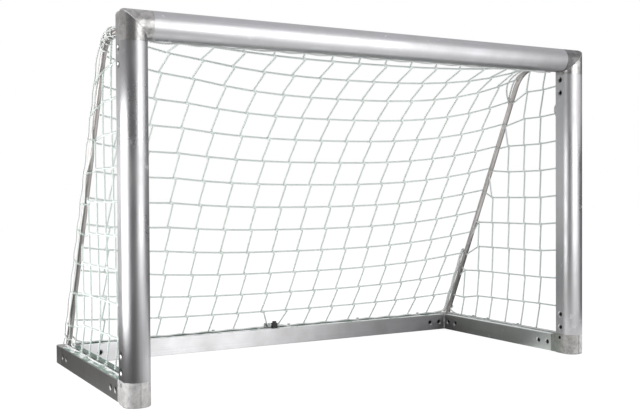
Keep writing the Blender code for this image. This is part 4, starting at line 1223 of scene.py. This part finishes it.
class CordShell:
    """Gathers lengths of twisted cord into one mesh."""

    def __init__(self, radius, lay, ring_turn=45.0, sides=6, depth=0.24):
        self.radius = radius
        self.lay = lay
        self.step = lay * ring_turn / 360
        self.sides = sides
        self.depth = depth
        self.verts, self.faces, self.crest, self.along = [], [], [], []
        self.count = 0

    def add(self, points, radius=None, step=None, twisted=True):
        """One length of cord along the points. Its strands are lobes of the section that turn as it runs."""
        radius = radius or self.radius
        sides = self.sides
        path, at = resample(points, step or self.step)
        tangents = np.gradient(path, axis=0)
        tangents /= np.linalg.norm(tangents, axis=1)[:, None]
        normal = np.cross(tangents[0], (0.0, 0.0, 1.0) if abs(tangents[0][2]) < 0.9 else (1.0, 0.0, 0.0))
        corners = 2 * np.pi * np.arange(sides) / sides
        lobes = np.ones(sides)
        if twisted:
            lobes[1::2] = 1.0 - self.depth * 2
        for index, (place, tangent, distance) in enumerate(zip(path, tangents, at)):
            normal = normal - tangent * np.dot(normal, tangent)
            normal /= np.linalg.norm(normal)
            other = np.cross(tangent, normal)
            turn = corners + (2 * np.pi * distance / self.lay if twisted else 0)
            ring_out = np.cos(turn)[:, None] * normal + np.sin(turn)[:, None] * other
            self.verts.extend((place + radius * lobes[:, None] * ring_out).tolist())
            self.crest.extend((lobes > 0.9).astype(float).tolist())
            self.along.extend([distance] * sides)
            if index:
                base = self.count + (index - 1) * sides
                for side in range(sides):
                    after = (side + 1) % sides
                    self.faces.append((base + side, base + after, base + sides + after, base + sides + side))
        last = self.count + (len(path) - 1) * sides
        self.faces.append(tuple(self.count + side for side in reversed(range(sides))))
        self.faces.append(tuple(last + side for side in range(sides)))
        self.count += len(path) * sides

    def piece(self, name, material):
        mesh = bpy.data.meshes.new(name)
        mesh.from_pydata(self.verts, [], self.faces)
        crest = mesh.attributes.new("crest", "FLOAT", "POINT")
        crest.data.foreach_set("value", np.array(self.crest, np.float32))
        corners = np.empty(len(mesh.loops), np.int32)
        mesh.loops.foreach_get("vertex_index", corners)
        across = (np.arange(self.count) % self.sides) / self.sides
        uv = mesh.uv_layers.new(name="UVMap")
        table = np.stack([across[corners], np.array(self.along)[corners]], axis=1)
        uv.data.foreach_set("uv", table.astype(np.float32).ravel())
        mesh.shade_smooth()
        mesh.materials.append(material_for(material))
        return linked(name, mesh)


def knot_path(center, right, up, size, turn):
    """Line of a small overhand knot, laid in the plane of right and up."""
    out = right.cross(up)
    points = []
    for t in spread(0, 2 * math.pi, KNOT_STEPS):
        a = (math.sin(t) + 2 * math.sin(2 * t)) * size / 3
        b = (math.cos(t) - 2 * math.cos(2 * t)) * size / 3
        c = -math.sin(3 * t) * size / 3
        u = math.cos(turn) * a - math.sin(turn) * b
        v = math.sin(turn) * a + math.cos(turn) * b
        points.append(center + right * u + up * v + out * c)
    return points


def along_line(points, share):
    lengths = [(b - a).length for a, b in zip(points, points[1:])]
    left = share * sum(lengths)
    for start, end, length in zip(points, points[1:], lengths):
        if left <= length:
            return start.lerp(end, left / length)
        left -= length
    return points[-1]


def net_middle():
    """The back panel's middle line, as in the solids: one curve from the crossbar to the rear bar."""
    start = Vector((0, POST_BACK + NET_STANDOFF + NET_CORD_SOLID / 2, BEAM_Z - CHANNEL_MOUTH))
    a = Vector((0, POST_BACK + 0.029, BEAM_Z - HALF_WIDTH - 0.013))
    b = Vector((0, POST_Y + 0.540, 0.950))
    c = Vector((0, POST_Y + 0.600, 0.300))
    d = Vector((0, REAR_Y + NET_STANDOFF, BAR_SIZE + NET_REST))
    curve = []
    for t in spread(0, 1, 24):
        r = 1 - t
        curve.append(a * r**3 + b * 3 * r**2 * t + c * 3 * r * t**2 + d * t**3)
    return [start] + curve


def net_side():
    """The back panel's line along each stay, as in the solids."""
    start = Vector((0, POST_BACK + NET_STANDOFF + NET_CORD_SOLID / 2, BEAM_Z))
    end = Vector((0, REAR_Y + NET_STANDOFF, BAR_SIZE + NET_REST))
    return [start] + stay_line(5)[1:-1] + [stay_landing() - stay_slope() * NET_LANDING, end]


def row_share(row):
    """Share of the back panel's length at which a row of knots lies."""
    return ROW_FIRST + ROW_PITCH * row + ROW_SPREAD * row**2


def left_drop(row, x):
    """Extra share of the back panel's length by which a row hangs lower beside the left stay."""
    near = (LEFT_DROP_START - x) / LEFT_DROP_REACH
    return LEFT_DROP * ease(near) * clamp((LEFT_DROP_ROWS - row) / 2)


def column_x(column, share):
    """X of a column of knots. The panel leans right as it comes down, and less so beside the right stay."""
    x = COLUMN_FIRST + COLUMN_PITCH * column + COLUMN_SPREAD * max(column - SPREAD_FROM, 0) ** 2
    return x + NET_LEAN * share**LEAN_POWER * clamp((POST_X - x) / LEAN_FREE)


def net_grid():
    """Knots of the back panel as rows of points, from the crossbar to the rear bar and from stay to stay."""
    middle, side = net_middle(), net_side()
    reach = POST_X - STAY_RADIUS - NET_TO_STAY
    grid = []
    for row in range(-1, ROW_COUNT + 1):
        inner = 0 <= row < ROW_COUNT
        share = row_share(row) if inner else float(row == ROW_COUNT)
        line = []
        for column in range(COLUMN_COUNT):
            x = column_x(column, share)
            if row == ROW_COUNT:
                x = DRAWN_TO_LOCK.get(column, x)
            down = share + (left_drop(row, x) if inner else 0)
            held = (abs(x) / (POST_X - NET_EDGE)) ** NET_SAG_POWER
            point = along_line(middle, down).lerp(along_line(side, down), held)
            point.x = x
            line.append(point)
        left = along_line(side, share + (left_drop(row, -reach) if inner else 0)) - X_AXIS * reach
        grid.append([left, *line, along_line(side, share) + X_AXIS * reach])
    return grid


def kinked(points, aside, kink):
    """Line of an upright through its knots: it comes in on one side of a knot and leaves on the other."""
    line = [points[0]]
    for before, point, after in zip(points, points[1:], points[2:]):
        along = (after - before).normalized()
        line.append(point - aside * kink - along * kink)
        line.append(point + aside * kink + along * kink)
    return line + [points[-1]]


def side_lean(z, sign):
    """How far back an upright of a side panel stands at a height: its lean at the ground and at the top."""
    start, over, amount = GROUND_LEAN
    lean = max((z - start) / over, 0) ** 2 * amount
    if sign < 0:
        start, over, amount = LEFT_LEAN
        return lean + clamp((z - start) / over) ** 0.8 * amount
    start, over, amount = RIGHT_LEAN
    return lean + max((z - start) / over, 0) * amount


def side_grid(sign):
    """Knots of a side panel in the plane x = 0: rows of points from the post towards the stay."""
    stay = stay_line(8)
    rows = []
    for level in range(SIDE_ROW_COUNT):
        z = SIDE_ROW_FIRST + SIDE_ROW_PITCH * level
        line = [Vector((0, SIDE_FRONT, z + SIDE_RISE * min(level, 2)))]
        for number, y in enumerate(SIDE_COLUMNS):
            back = y + side_lean(z, sign)
            if back < stay_y(stay, z) - SIDE_CLEAR:
                droop = SIDE_DROOP * min(level / 3, 1) + SIDE_DROOP_STEP * number
                droop += LAST_DROOP if y == SIDE_COLUMNS[-1] else 0
                line.append(Vector((0, back, z - droop * (UPPER_DROOP if level else 1))))
        rows.append(line)
    return rows


def along_stay(sign, spacing, span):
    """Distance, place and direction behind at even steps along a stay, within a span."""
    path, at = resample(stay_line(12), spacing)
    start, end = span
    if end < 0:
        end += at[-1]
    for before, point, after, distance in zip(path, path[1:], path[2:], at[1:]):
        if start < distance < end:
            behind = X_AXIS.cross(Vector(after - before).normalized())
            yield distance, Vector(point) + X_AXIS * sign * POST_X, behind


# Operators


class GOAL_OT_posts(bpy.types.Operator):
    """Make both posts of oval profile, with the channel and the screw holes"""

    bl_idname = "goal.posts"
    bl_label = "Posts"

    def execute(self, context):
        low, high = POST_BOX[0].z, POST_BOX[1].z
        for side, sign in SIDES:
            bm = drawn_out(oval_section(True), high - low, Matrix.Translation((sign * POST_X, POST_Y, low)))
            bm = with_screw_holes(bm, (sign,), "foot", "post")
            fit(object_from(bm, f"post_{side}_profile", "post_aluminium"), "aluminium", f"{side}_post")
        return {"FINISHED"}


class GOAL_OT_crossbar(bpy.types.Operator):
    """Make the crossbar of oval profile"""

    bl_idname = "goal.crossbar"
    bl_label = "Crossbar"

    def execute(self, context):
        low, high = BEAM_BOX[0].x, BEAM_BOX[1].x
        bm = drawn_out(oval_section(True), high - low, axes_at((low, POST_Y, BEAM_Z), -Z_AXIS, Y_AXIS))
        bm = with_screw_holes(bm, SIGNS, "crossbar")
        fit(object_from(bm, "crossbar_profile", "crossbar_aluminium"), "aluminium", "crossbar")
        return {"FINISHED"}


class GOAL_OT_castings(bpy.types.Operator):
    """Make the top corners, rear corners and feet"""

    bl_idname = "goal.castings"
    bl_label = "Castings"

    def execute(self, context):
        for side, sign in SIDES:
            fit(top_corner_piece(side, sign), "casting", f"top_corner_{side}")
            fit(mitre_bead_piece(side, sign), "casting")
            fit(rear_corner_piece(side, sign), "casting", f"rear_corner_{side}")
            fit(foot_piece(side, sign), "casting", f"foot_{side}")
        return {"FINISHED"}


class GOAL_OT_ground_bars(bpy.types.Operator):
    """Make the side bars and the rear bar"""

    bl_idname = "goal.ground_bars"
    bl_label = "Ground bars"

    def execute(self, context):
        for side, sign in SIDES:
            place = axes_at((sign * POST_X, SIDE_BOX[1].y, BAR_HALF), X_AXIS, Z_AXIS)
            bm = drawn_out(bar_section(True), SIDE_BOX[1].y - SIDE_BOX[0].y, place)
            bm = with_screw_holes(bm, (sign,), "neck", "side_bar")
            fit(object_from(bm, f"side_bar_{side}_profile", "side_bar_aluminium"), "bar", f"side_bar_{side}")
        place = axes_at((REAR_BOX[0].x, REAR_Y, BAR_HALF), Y_AXIS, Z_AXIS)
        bm = drawn_out(bar_section(True), REAR_BOX[1].x - REAR_BOX[0].x, place)
        bm = with_screw_holes(bm, SIGNS, "rear_bar")
        fit(object_from(bm, "rear_bar_profile", "rear_bar_aluminium"), "bar", "rear_bar")
        return {"FINISHED"}


class GOAL_OT_stays(bpy.types.Operator):
    """Make the bent tubes from the top corners to the rear corners"""

    bl_idname = "goal.stays"
    bl_label = "Stays"

    def execute(self, context):
        for side, sign in SIDES:
            bm = sweep([point + X_AXIS * sign * POST_X for point in stay_line()], STAY_RADIUS)
            fit(object_from(bm, f"stay_{side}_tube", "stay_tube"), "stay", f"stay_{side}")
        return {"FINISHED"}


class GOAL_OT_screws(bpy.types.Operator):
    """Make the countersunk screws and bolts"""

    bl_idname = "goal.screws"
    bl_label = "Screws"

    def execute(self, context):
        for side, sign in SIDES:
            heads = bmesh.new()
            for place in screw_places((sign,)):
                join_into(heads, take(screw_head(), place))
            screws = object_from(heads, f"screws_{side}", "bolt_steel", 30)
            # The second material is near black, as painted shade in the sockets.
            screws.data.materials.append(material_for("bolt_socket"))
            nodes = [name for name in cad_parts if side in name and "grub" not in name]
            nodes = [name for name in nodes if "screw" in name or "bolt" in name]
            fit(screws, "steel", *nodes)
        return {"FINISHED"}


class GOAL_OT_net(bpy.types.Operator):
    """Knot the back panel and both side panels of the net"""

    bl_idname = "goal.net"
    bl_label = "Net"

    def execute(self, context):
        settings = context.scene.goal_net
        chance = random.Random(settings.seed)
        grid = net_grid()
        radius, lay = settings.cord / 2, settings.lay
        uprights, rows = CordShell(radius, lay), CordShell(radius, lay)
        knots = CordShell(radius * KNOT_SHARE, lay, sides=4)
        for column in range(1, COLUMN_COUNT + 1):
            uprights.add(kinked([line[column] for line in grid], X_AXIS, settings.kink))
        for upper, line, lower in zip(grid, grid[1:-1], grid[2:]):
            rows.add(line)
            for index in range(1, COLUMN_COUNT + 1):
                right = (line[index + 1] - line[index - 1]).normalized()
                up = (upper[index] - lower[index]).normalized()
                up = (up - right * up.dot(right)).normalized()
                path = knot_path(line[index], right, up, settings.knot, chance.uniform(0, math.pi))
                knots.add(path, step=KNOT_STEP, twisted=False)
        for name, shell in (("uprights", uprights), ("rows", rows), ("knots", knots)):
            fit(shell.piece(f"net_back_{name}", "net_cord"), "cord", "net_back")
        stay_ends = [line[-1] for line in grid[1:-1]]
        for side, sign in SIDES:
            self.side_panel(settings, chance, side, sign, stay_ends)
        return {"FINISHED"}

    def side_panel(self, settings, chance, side, sign, stay_ends):
        """Rows from post to stay and uprights from the ground bar to the stay, knotted where they cross."""
        rows = side_grid(sign)
        plane = X_AXIS * sign * POST_X
        inward = X_AXIS * -sign * SIDE_INSET
        cords = CordShell(settings.cord / 2, settings.lay)
        knots = CordShell(settings.cord / 2 * KNOT_SHARE, settings.lay, sides=4)
        stay = stay_line(8)
        for row, fall in zip(rows, TAIL_FALLS):
            if sign < 0:
                tail = self.round_stay(stay, row[-1].z, fall, plane)
            else:
                end = min(stay_ends, key=lambda one: abs(one.z - row[-1].z))
                tail = [Vector((0, end.y - TAIL_BACK, end.z - TAIL_DROP)) + plane + inward]
            cords.add([point + plane for point in row] + tail)
            for point in row[1:]:
                path = knot_path(point + plane, Y_AXIS, Z_AXIS, settings.knot, chance.uniform(0, math.pi))
                knots.add(path, step=KNOT_STEP, twisted=False)
        for number, y in enumerate(SIDE_COLUMNS):
            start = Vector((0, y + side_lean(BAR_SIZE, sign), BAR_SIZE + UPRIGHT_START))
            points = [start + plane - inward]
            points += [row[number + 1] + plane for row in rows if len(row) > number + 1]
            run = side_lean(BEAM_Z, sign) - side_lean(LAST_ROW_HEIGHT, sign)
            top_y = points[-1].y + (UPRIGHT_RUN if number > 1 else run)
            top = Vector((0, top_y, stay_height(stay, top_y) - STAY_RADIUS - BELOW_STAY)) + plane + inward
            cords.add(kinked(points + [top], Y_AXIS, settings.kink * SIDE_KINK))
        fit(cords.piece(f"net_{side}_cords", "net_cord"), "cord", f"net_{side}")
        fit(knots.piece(f"net_{side}_knots", "net_cord"), "cord", f"net_{side}")

    def round_stay(self, stay, z, fall, plane):
        """End of a side row: across the outer face of the left stay to the border cord behind it."""
        points = []
        for angle, share in TAIL_TURNS:
            height = z - TAIL_DROP - fall * share
            turn = math.radians(angle)
            out = (X_AXIS * math.cos(turn) + Y_AXIS * math.sin(turn)) * (STAY_RADIUS + TAIL_STAND)
            points.append(Vector((0, stay_y(stay, height), height)) + plane + out)
        return points


class GOAL_OT_border(bpy.types.Operator):
    """Lay the border cords along posts, crossbar and ground bars, and lace the net to the stays"""

    bl_idname = "goal.border"
    bl_label = "Border cords"

    def execute(self, context):
        settings = context.scene.goal_net
        chance = random.Random(settings.seed + 1)
        thick, radius = settings.lacing / 2, settings.border / 2
        for side, sign in SIDES:
            lacing = CordShell(thick, settings.lay)
            if sign < 0:
                lacing.add(self.stay_lacing(sign, THIN_LACING, chance), radius=THIN_LACING)
                lacing.add(self.bend_wraps(thick))
                lacing.add(self.stay_rope(sign, THIN_ROPE), radius=THIN_ROPE)
            else:
                lacing.add(self.stay_lacing(sign, thick, chance))
                lacing.add(self.stay_lacing(sign, thick, chance, LOOSE_SPAN, LOOSE_SLACK))
                rope = CordShell(ROPE_RADIUS, ROPE_LAY)
                rope.add(self.stay_rope(sign, ROPE_RADIUS))
                fit(rope.piece("stay_rope_right", "border_cord"), "cord")
            lacing.add(self.foot_loop(sign))
            fit(lacing.piece(f"stay_lacing_{side}", "border_cord"), "cord")
            self.border(settings, f"border_{side}", self.post_cord(sign, radius), self.ground_cord(sign))
        self.border(settings, "border_back", self.beam_cord(radius), self.rear_cord())
        return {"FINISHED"}

    def border(self, settings, name, *lines):
        shell = CordShell(settings.border / 2, settings.lay)
        for line in lines:
            shell.add(line)
        fit(shell.piece(name, "border_cord"), "cord")

    def stay_lacing(self, sign, radius, chance, span=LACING_SPAN, slack=LACING_SLACK):
        """Lacing along a stay: in view on the left one, behind the right one and off its bend."""
        rest = [chance.uniform(-LACING_SWAY, LACING_SWAY) for _ in range(16)]
        points = []
        for distance, place, behind in along_stay(sign, 0.0025, span):
            cell, part = divmod(distance / LACING_CELL, 1)
            part = ease(part)
            angle = LACING_ANGLES[sign] + rest[int(cell)] * (1 - part) + rest[int(cell) + 1] * part
            stand = STAY_RADIUS + radius * 0.85 + LACING_WAVE * (1 + math.sin(distance * 41))
            out = (X_AXIS * math.cos(angle) + behind * math.sin(angle)) * stand
            if sign > 0:
                off = math.sin(math.pi * clamp((distance - LOOSE_FROM) / LOOSE_LENGTH)) ** 0.8
                out += LOOSE_AWAY * slack * off
            points.append(place + out)
        return points

    def bend_wraps(self, radius):
        """Cord wound round the bend of the left stay, proud of it on the outside of the bend."""
        first, last = WRAP_SPAN
        points = []
        for distance, place, behind in along_stay(-1, 0.0015, WRAP_SPAN):
            share = (distance - first) / (last - first)
            turn = 2 * math.pi * WRAP_TURNS * share
            proud = WRAP_PROUD * max(math.sin(turn), 0) * math.sin(math.pi * share)
            out = X_AXIS * math.cos(turn) + behind * math.sin(turn)
            points.append(place + out * (STAY_RADIUS + radius * 0.9 + proud))
        return points

    def stay_rope(self, sign, radius):
        """Border cord of the net beside the stay, on its left."""
        turn = ROPE_ANGLES[sign]
        points = []
        for distance, place, behind in along_stay(sign, 0.01, ROPE_SPANS[sign]):
            out = X_AXIS * math.cos(turn) + behind * math.sin(turn)
            wave = ROPE_WAVE * math.sin(distance * 57)
            points.append(place + out * (STAY_RADIUS + radius * ROPE_STANDS[sign] + wave))
        return points

    def foot_loop(self, sign):
        """Rope from the rear bar up round the stay's foot and down to the side bar."""
        foot = stay_landing() + X_AXIS * sign * POST_X
        top = BAR_SIZE + 0.0040
        inner = X_AXIS * -sign
        slope = stay_slope()
        return smooth_through(
            [
                Vector((foot.x, REAR_Y, top)) + inner * 0.110,
                Vector((foot.x, REAR_Y, top + 0.002)) + inner * 0.070,
                foot - slope * 0.022 + inner * 0.030,
                foot - slope * 0.040 + inner * 0.016 + Y_AXIS * 0.010,
                foot - slope * 0.046 - inner * 0.013 + Y_AXIS * 0.008,
                foot - slope * 0.038 - inner * 0.016 - Y_AXIS * 0.008,
                foot - slope * 0.026 + inner * 0.006 - Y_AXIS * 0.022,
                Vector((foot.x, foot.y - 0.060, top + 0.004)),
                Vector((foot.x, foot.y - 0.110, top)),
            ]
        )

    def post_cord(self, sign, radius):
        """Border cord up the post's channel, bowed off it in one mesh."""
        start, length, height = POST_BOW
        points = []
        for z in spread(*POST_CORD, POST_CORD_PLACES):
            bow = height * math.sin(math.pi * clamp((z - start) / length))
            x = sign * (POST_X - bow * POST_BOW_ASIDE)
            points.append(Vector((x, POST_BACK + radius + POST_CORD_GAP + bow, z)))
        return points

    def ground_cord(self, sign):
        """Border cord on the side bar, in long bows beside its channel and down to it at each hook."""
        held, bow = GROUND_BOWS[sign]
        points = []
        for y in spread(POST_BACK + 0.010, REAR_Y - 0.020, CORD_PLACES):
            near = min(abs(y - hook) for hook in GROUND_HOOKS)
            high = ease((near - HOOK_REACH) / HOOK_RISE)
            points.append(Vector((sign * (POST_X + held + bow * high), y, BAR_SIZE + 0.0008 + 0.0040 * high)))
        return points

    def wavy(self, reach, wave, y, z):
        """Cord along X that rises and falls a little with the net's columns."""
        points = []
        for x in spread(-reach, reach, CORD_PLACES):
            points.append(Vector((x, y, z + wave * math.cos(2 * math.pi * x / COLUMN_PITCH))))
        return points

    def beam_cord(self, radius):
        y = POST_BACK + radius + 0.0002
        return self.wavy(POST_X - TOP_ARM - 0.01, -BEAM_CORD_WAVE, y, BEAM_Z - BEAM_CORD_DROP)

    def rear_cord(self):
        return self.wavy(POST_X - 0.030, REAR_CORD_WAVE, REAR_Y - 0.003, BAR_SIZE + 0.0050)


class GOAL_OT_fittings(bpy.types.Operator):
    """Finish the hooks, grub screws and cord lock, and thread the draw cord"""

    bl_idname = "goal.fittings"
    bl_label = "Cord lock and hooks"

    def execute(self, context):
        self.coil()
        finishes = (("clip", "hook_plastic"), ("grub", "bolt_steel"), ("lock", "lock_plastic"))
        for name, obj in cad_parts.items():
            for word, finish in finishes:
                if word in name and not obj.hide_render:
                    obj.material_slots[0].material = material_for(finish)
                    break
        cord = CordShell(DRAW_CORD / 2, DRAW_CORD * 5)
        cord.add(smooth_through(self.draw_cord_route()))
        fit(cord.piece("draw_cord_laid", "border_cord"), "cord", "draw_cord")
        self.knot()
        return {"FINISHED"}

    def coil(self):
        """Spring under the lock's button; the real spring shortens as the button goes down, this coil keeps
        its length.
        """
        low, high = SPRING_BOX
        center = (low + high) / 2
        height = high.z - low.z
        radius = (high.x - low.x - SPRING_WIRE) / 2
        points = []
        for share in spread(0, 1, SPRING_STEPS):
            angle = 2 * math.pi * SPRING_TURNS * share
            z = low.z + SPRING_WIRE / 2 + (height - SPRING_WIRE) * share
            x, y = center.x + radius * math.cos(angle), center.y + radius * math.sin(angle)
            points.append(Vector((x, y, z)))
        wire = CordShell(SPRING_WIRE / 2, SPRING_WIRE, sides=8)
        wire.add(points, step=0.0008, twisted=False)
        coil = wire.piece("cord_lock_coil", "bolt_steel")
        fit(coil, "steel", "cord_lock_spring")
        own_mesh(coil)

    def knot(self):
        """Loops of the knot that ties the cord off beside the lock, and its tail."""
        center = Vector((LOCK_X - 0.031, LOCK_Y - 0.002, BAR_SIZE + 0.0150))
        tie = CordShell(0.0021, 0.014)
        tail = CordShell(0.0017, 0.012)
        for shell, offset, size, turn, step in (
            (tie, (0, 0, 0), 0.0125, 0.4, 0.0015),
            (tie, (-0.013, 0.002, 0.001), 0.0110, 1.6, 0.0015),
            (tail, (0.003, -0.004, 0.002), 0.0095, 2.4, 0.0012),
        ):
            shell.add(knot_path(center + Vector(offset), X_AXIS, Z_AXIS, size, turn), step=step)
        route = (
            (-0.004, 0.004, -0.002),
            (-0.020, 0.004, 0.006),
            (-0.028, 0.010, -0.004),
            (-0.040, 0.014, -0.011),
        )
        tail.add(smooth_through([center + Vector(offset) for offset in route]))
        fit(tie.piece("draw_cord_knot", "lock_cord"), "cord")
        fit(tail.piece("draw_cord_tail", "border_cord"), "cord")

    def draw_cord_route(self):
        """From beside the border cord, through the lock and back to the border cord, as in the solids."""
        low = BAR_SIZE + DRAW_CORD / 2 + GAP
        route = (
            (-0.105, REAR_Y - 0.0075, low),
            (-0.090, REAR_Y - 0.009, low + 0.001),
            (-0.068, LOCK_Y + 0.006, DRAW_CORD_HEIGHT - 0.003),
            (-0.048, LOCK_Y, DRAW_CORD_HEIGHT),
            (LOCK_X, LOCK_Y, DRAW_CORD_HEIGHT),
            (-0.006, LOCK_Y, DRAW_CORD_HEIGHT),
            (0.016, LOCK_Y + 0.006, DRAW_CORD_HEIGHT - 0.003),
            (0.040, REAR_Y - 0.009, low + 0.001),
            (0.055, REAR_Y - 0.0075, low),
        )
        return [Vector(place) for place in route]


class GOAL_OT_stage(bpy.types.Operator):
    """Set up the floor, the soft light and the camera"""

    bl_idname = "goal.stage"
    bl_label = "Stage"

    def execute(self, context):
        self.floor(context)
        self.world(context)
        self.lamps()
        self.camera(context)
        context.scene.view_settings.view_transform = "Standard"
        return {"FINISHED"}

    def floor(self, context):
        """White floor. Gloss shows it darker, with lit stretches under the crossbar and ahead of the goal."""
        bm = bmesh.new()
        bmesh.ops.create_circle(bm, cap_ends=True, segments=96, radius=FLOOR_RADIUS)
        floor = linked("floor", mesh_from(bm, "floor"))
        material, nodes = new_material("studio_floor")
        shader = nodes.tree.nodes["Principled BSDF"]
        nodes.feed(shader.inputs["Base Color"], context.scene.goal_colors.floor)
        nodes.feed(shader.inputs["Roughness"], 0.9)
        path, place = nodes.add("LightPath"), nodes.place()
        x, y = place["X"], place["Y"]
        glow = nodes.add("Emission", {"Strength": FLOOR_GLOW})[0]
        seen = nodes.times(path["Is Camera Ray"], FLOOR_GLOW_SHARE)
        white = nodes.add("MixShader", {0: seen, 1: shader.outputs[0], 2: glow})[0]
        right_edge = nodes.plus(nodes.times(y, -1.10), 0.45)
        right = nodes.ranged(nodes.minus(right_edge, x), -0.30, 0.20)
        level = nodes.ranged(nodes.times(nodes.ranged(x, -1.10, -0.60), right), 0.0, 1.0, *FLOOR_IN_GLOSS)
        near = nodes.times(nodes.ranged(y, -0.12, -0.28), nodes.ranged(y, -1.30, -0.90))
        wide = nodes.times(nodes.ranged(x, -0.95, -0.55), nodes.ranged(x, 2.30, 1.70))
        level = nodes.larger(level, nodes.times(nodes.times(near, wide), FLOOR_UNDER_BEAM))
        ahead = nodes.times(nodes.ranged(y, -1.10, -1.60), nodes.ranged(x, -0.30, 0.50))
        ahead = nodes.times(ahead, nodes.ranged(x, 3.2, 2.2))
        level = nodes.larger(level, nodes.times(ahead, FLOOR_AHEAD))
        sheen = nodes.add("Emission", {"Color": level})[0]
        shown = nodes.add("MixShader", {0: path["Is Glossy Ray"], 1: white, 2: sheen})[0]
        nodes.feed(nodes.tree.nodes["Material Output"].inputs["Surface"], shown)
        floor.data.materials.append(material)

    def world(self, context):
        """White backdrop. Gloss shows it behind the goal, and elsewhere the darker walls of the studio."""
        world = bpy.data.worlds.new("studio")
        context.scene.world = world
        world.use_nodes = True
        nodes = Nodes(world.node_tree)
        parts = nodes.add("SeparateXYZ", {0: nodes.add("TexCoord")["Generated"]})
        angle = nodes.math("ARCTAN2", parts["X"], nodes.times(parts["Y"], -1.0))
        ramp = world.node_tree.nodes.new("ShaderNodeValToRGB")
        elements = ramp.color_ramp.elements
        while len(elements) < len(WALL_LEVELS):
            elements.new(0.5)
        for element, (degrees, level) in zip(elements, WALL_LEVELS):
            element.position = (degrees + 180) / 360
            element.color = (level, level, level, 1)
        nodes.feed(ramp.inputs[0], nodes.ranged(angle, -math.pi, math.pi))
        lift = nodes.ranged(parts["Z"], 0.15, 0.80)
        studio = nodes.add("Background", {"Color": nodes.mix(lift, ramp.outputs["Color"], CEILING_COLOR)})[0]
        white = world.node_tree.nodes["Background"]
        nodes.feed(white.inputs["Color"], (1, 1, 1))
        path = nodes.add("LightPath")
        behind = nodes.ranged(parts["Y"], 0.50, 0.80, 0.0, BACKDROP_IN_GLOSS)
        seen = nodes.larger(path["Is Camera Ray"], path["Is Transmission Ray"])
        seen = nodes.larger(seen, nodes.times(path["Is Glossy Ray"], behind))
        shown = nodes.add("MixShader", {0: seen, 1: studio, 2: white.outputs[0]})[0]
        nodes.feed(world.node_tree.nodes["World Output"].inputs["Surface"], shown)

    def lamps(self):
        for name, place, aim, size, radiance, glossy in SOFTBOXES:
            light = bpy.data.lights.new(name, "AREA")
            light.shape = "RECTANGLE"
            light.size, light.size_y = size
            light.energy = radiance * size[0] * size[1] * 4
            lamp = linked(name, light)
            lamp.location = place
            lamp.rotation_euler = (Vector(aim) - Vector(place)).to_track_quat("-Z", "Y").to_euler()
            lamp.visible_camera = False
            lamp.visible_glossy = glossy

    def camera(self, context):
        yaw, pitch, roll = (math.radians(degrees) for degrees in CAMERA_TURN)
        forward = Vector((math.sin(yaw), math.cos(yaw), 0))
        right = Vector((math.cos(yaw), -math.sin(yaw), 0))
        ahead = forward * math.cos(pitch) - Z_AXIS * math.sin(pitch)
        above = forward * math.sin(pitch) + Z_AXIS * math.cos(pitch)
        across = right * math.cos(roll) + above * math.sin(roll)
        upright = above * math.cos(roll) - right * math.sin(roll)
        data = bpy.data.cameras.new("camera")
        data.sensor_fit = "HORIZONTAL"
        data.sensor_width = SENSOR_WIDTH
        data.lens = SENSOR_WIDTH * FOCAL_LENGTH / PHOTO_WIDTH
        camera = linked("camera", data)
        turn = Matrix((across, upright, -ahead)).transposed().to_4x4()
        camera.matrix_world = Matrix.Translation(CAMERA_PLACE) @ turn
        context.scene.camera = camera


class GOAL_PT_panel(bpy.types.Panel):
    """Steps and settings of the mini soccer goal"""

    bl_idname = "GOAL_PT_panel"
    bl_label = "Mini Soccer Goal"
    bl_space_type = "VIEW_3D"
    bl_region_type = "UI"
    bl_category = "Goal"

    def draw(self, context):
        for operator in OPERATORS:
            self.layout.operator(operator.bl_idname)
        for settings in (context.scene.goal_net, context.scene.goal_colors):
            box = self.layout.box()
            for name in settings.__annotations__:
                box.prop(settings, name)


OPERATORS = (
    GOAL_OT_stage,
    GOAL_OT_posts,
    GOAL_OT_crossbar,
    GOAL_OT_castings,
    GOAL_OT_ground_bars,
    GOAL_OT_stays,
    GOAL_OT_screws,
    GOAL_OT_net,
    GOAL_OT_border,
    GOAL_OT_fittings,
)
CLASSES = (GoalNetSettings, GoalColors, *OPERATORS, GOAL_PT_panel)


def register():
    for cls in CLASSES:
        bpy.utils.register_class(cls)
    bpy.types.Scene.goal_net = bpy.props.PointerProperty(type=GoalNetSettings)
    bpy.types.Scene.goal_colors = bpy.props.PointerProperty(type=GoalColors)


def unregister():
    del bpy.types.Scene.goal_net
    del bpy.types.Scene.goal_colors
    for cls in reversed(CLASSES):
        bpy.utils.unregister_class(cls)


def main():
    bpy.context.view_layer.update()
    register()
    bpy.ops.goal.stage()
    bpy.ops.goal.posts()
    bpy.ops.goal.crossbar()
    bpy.ops.goal.castings()
    bpy.ops.goal.ground_bars()
    bpy.ops.goal.stays()
    bpy.ops.goal.screws()
    bpy.ops.goal.net()
    bpy.ops.goal.border()
    bpy.ops.goal.fittings()


if __name__ == "__main__":
    main()
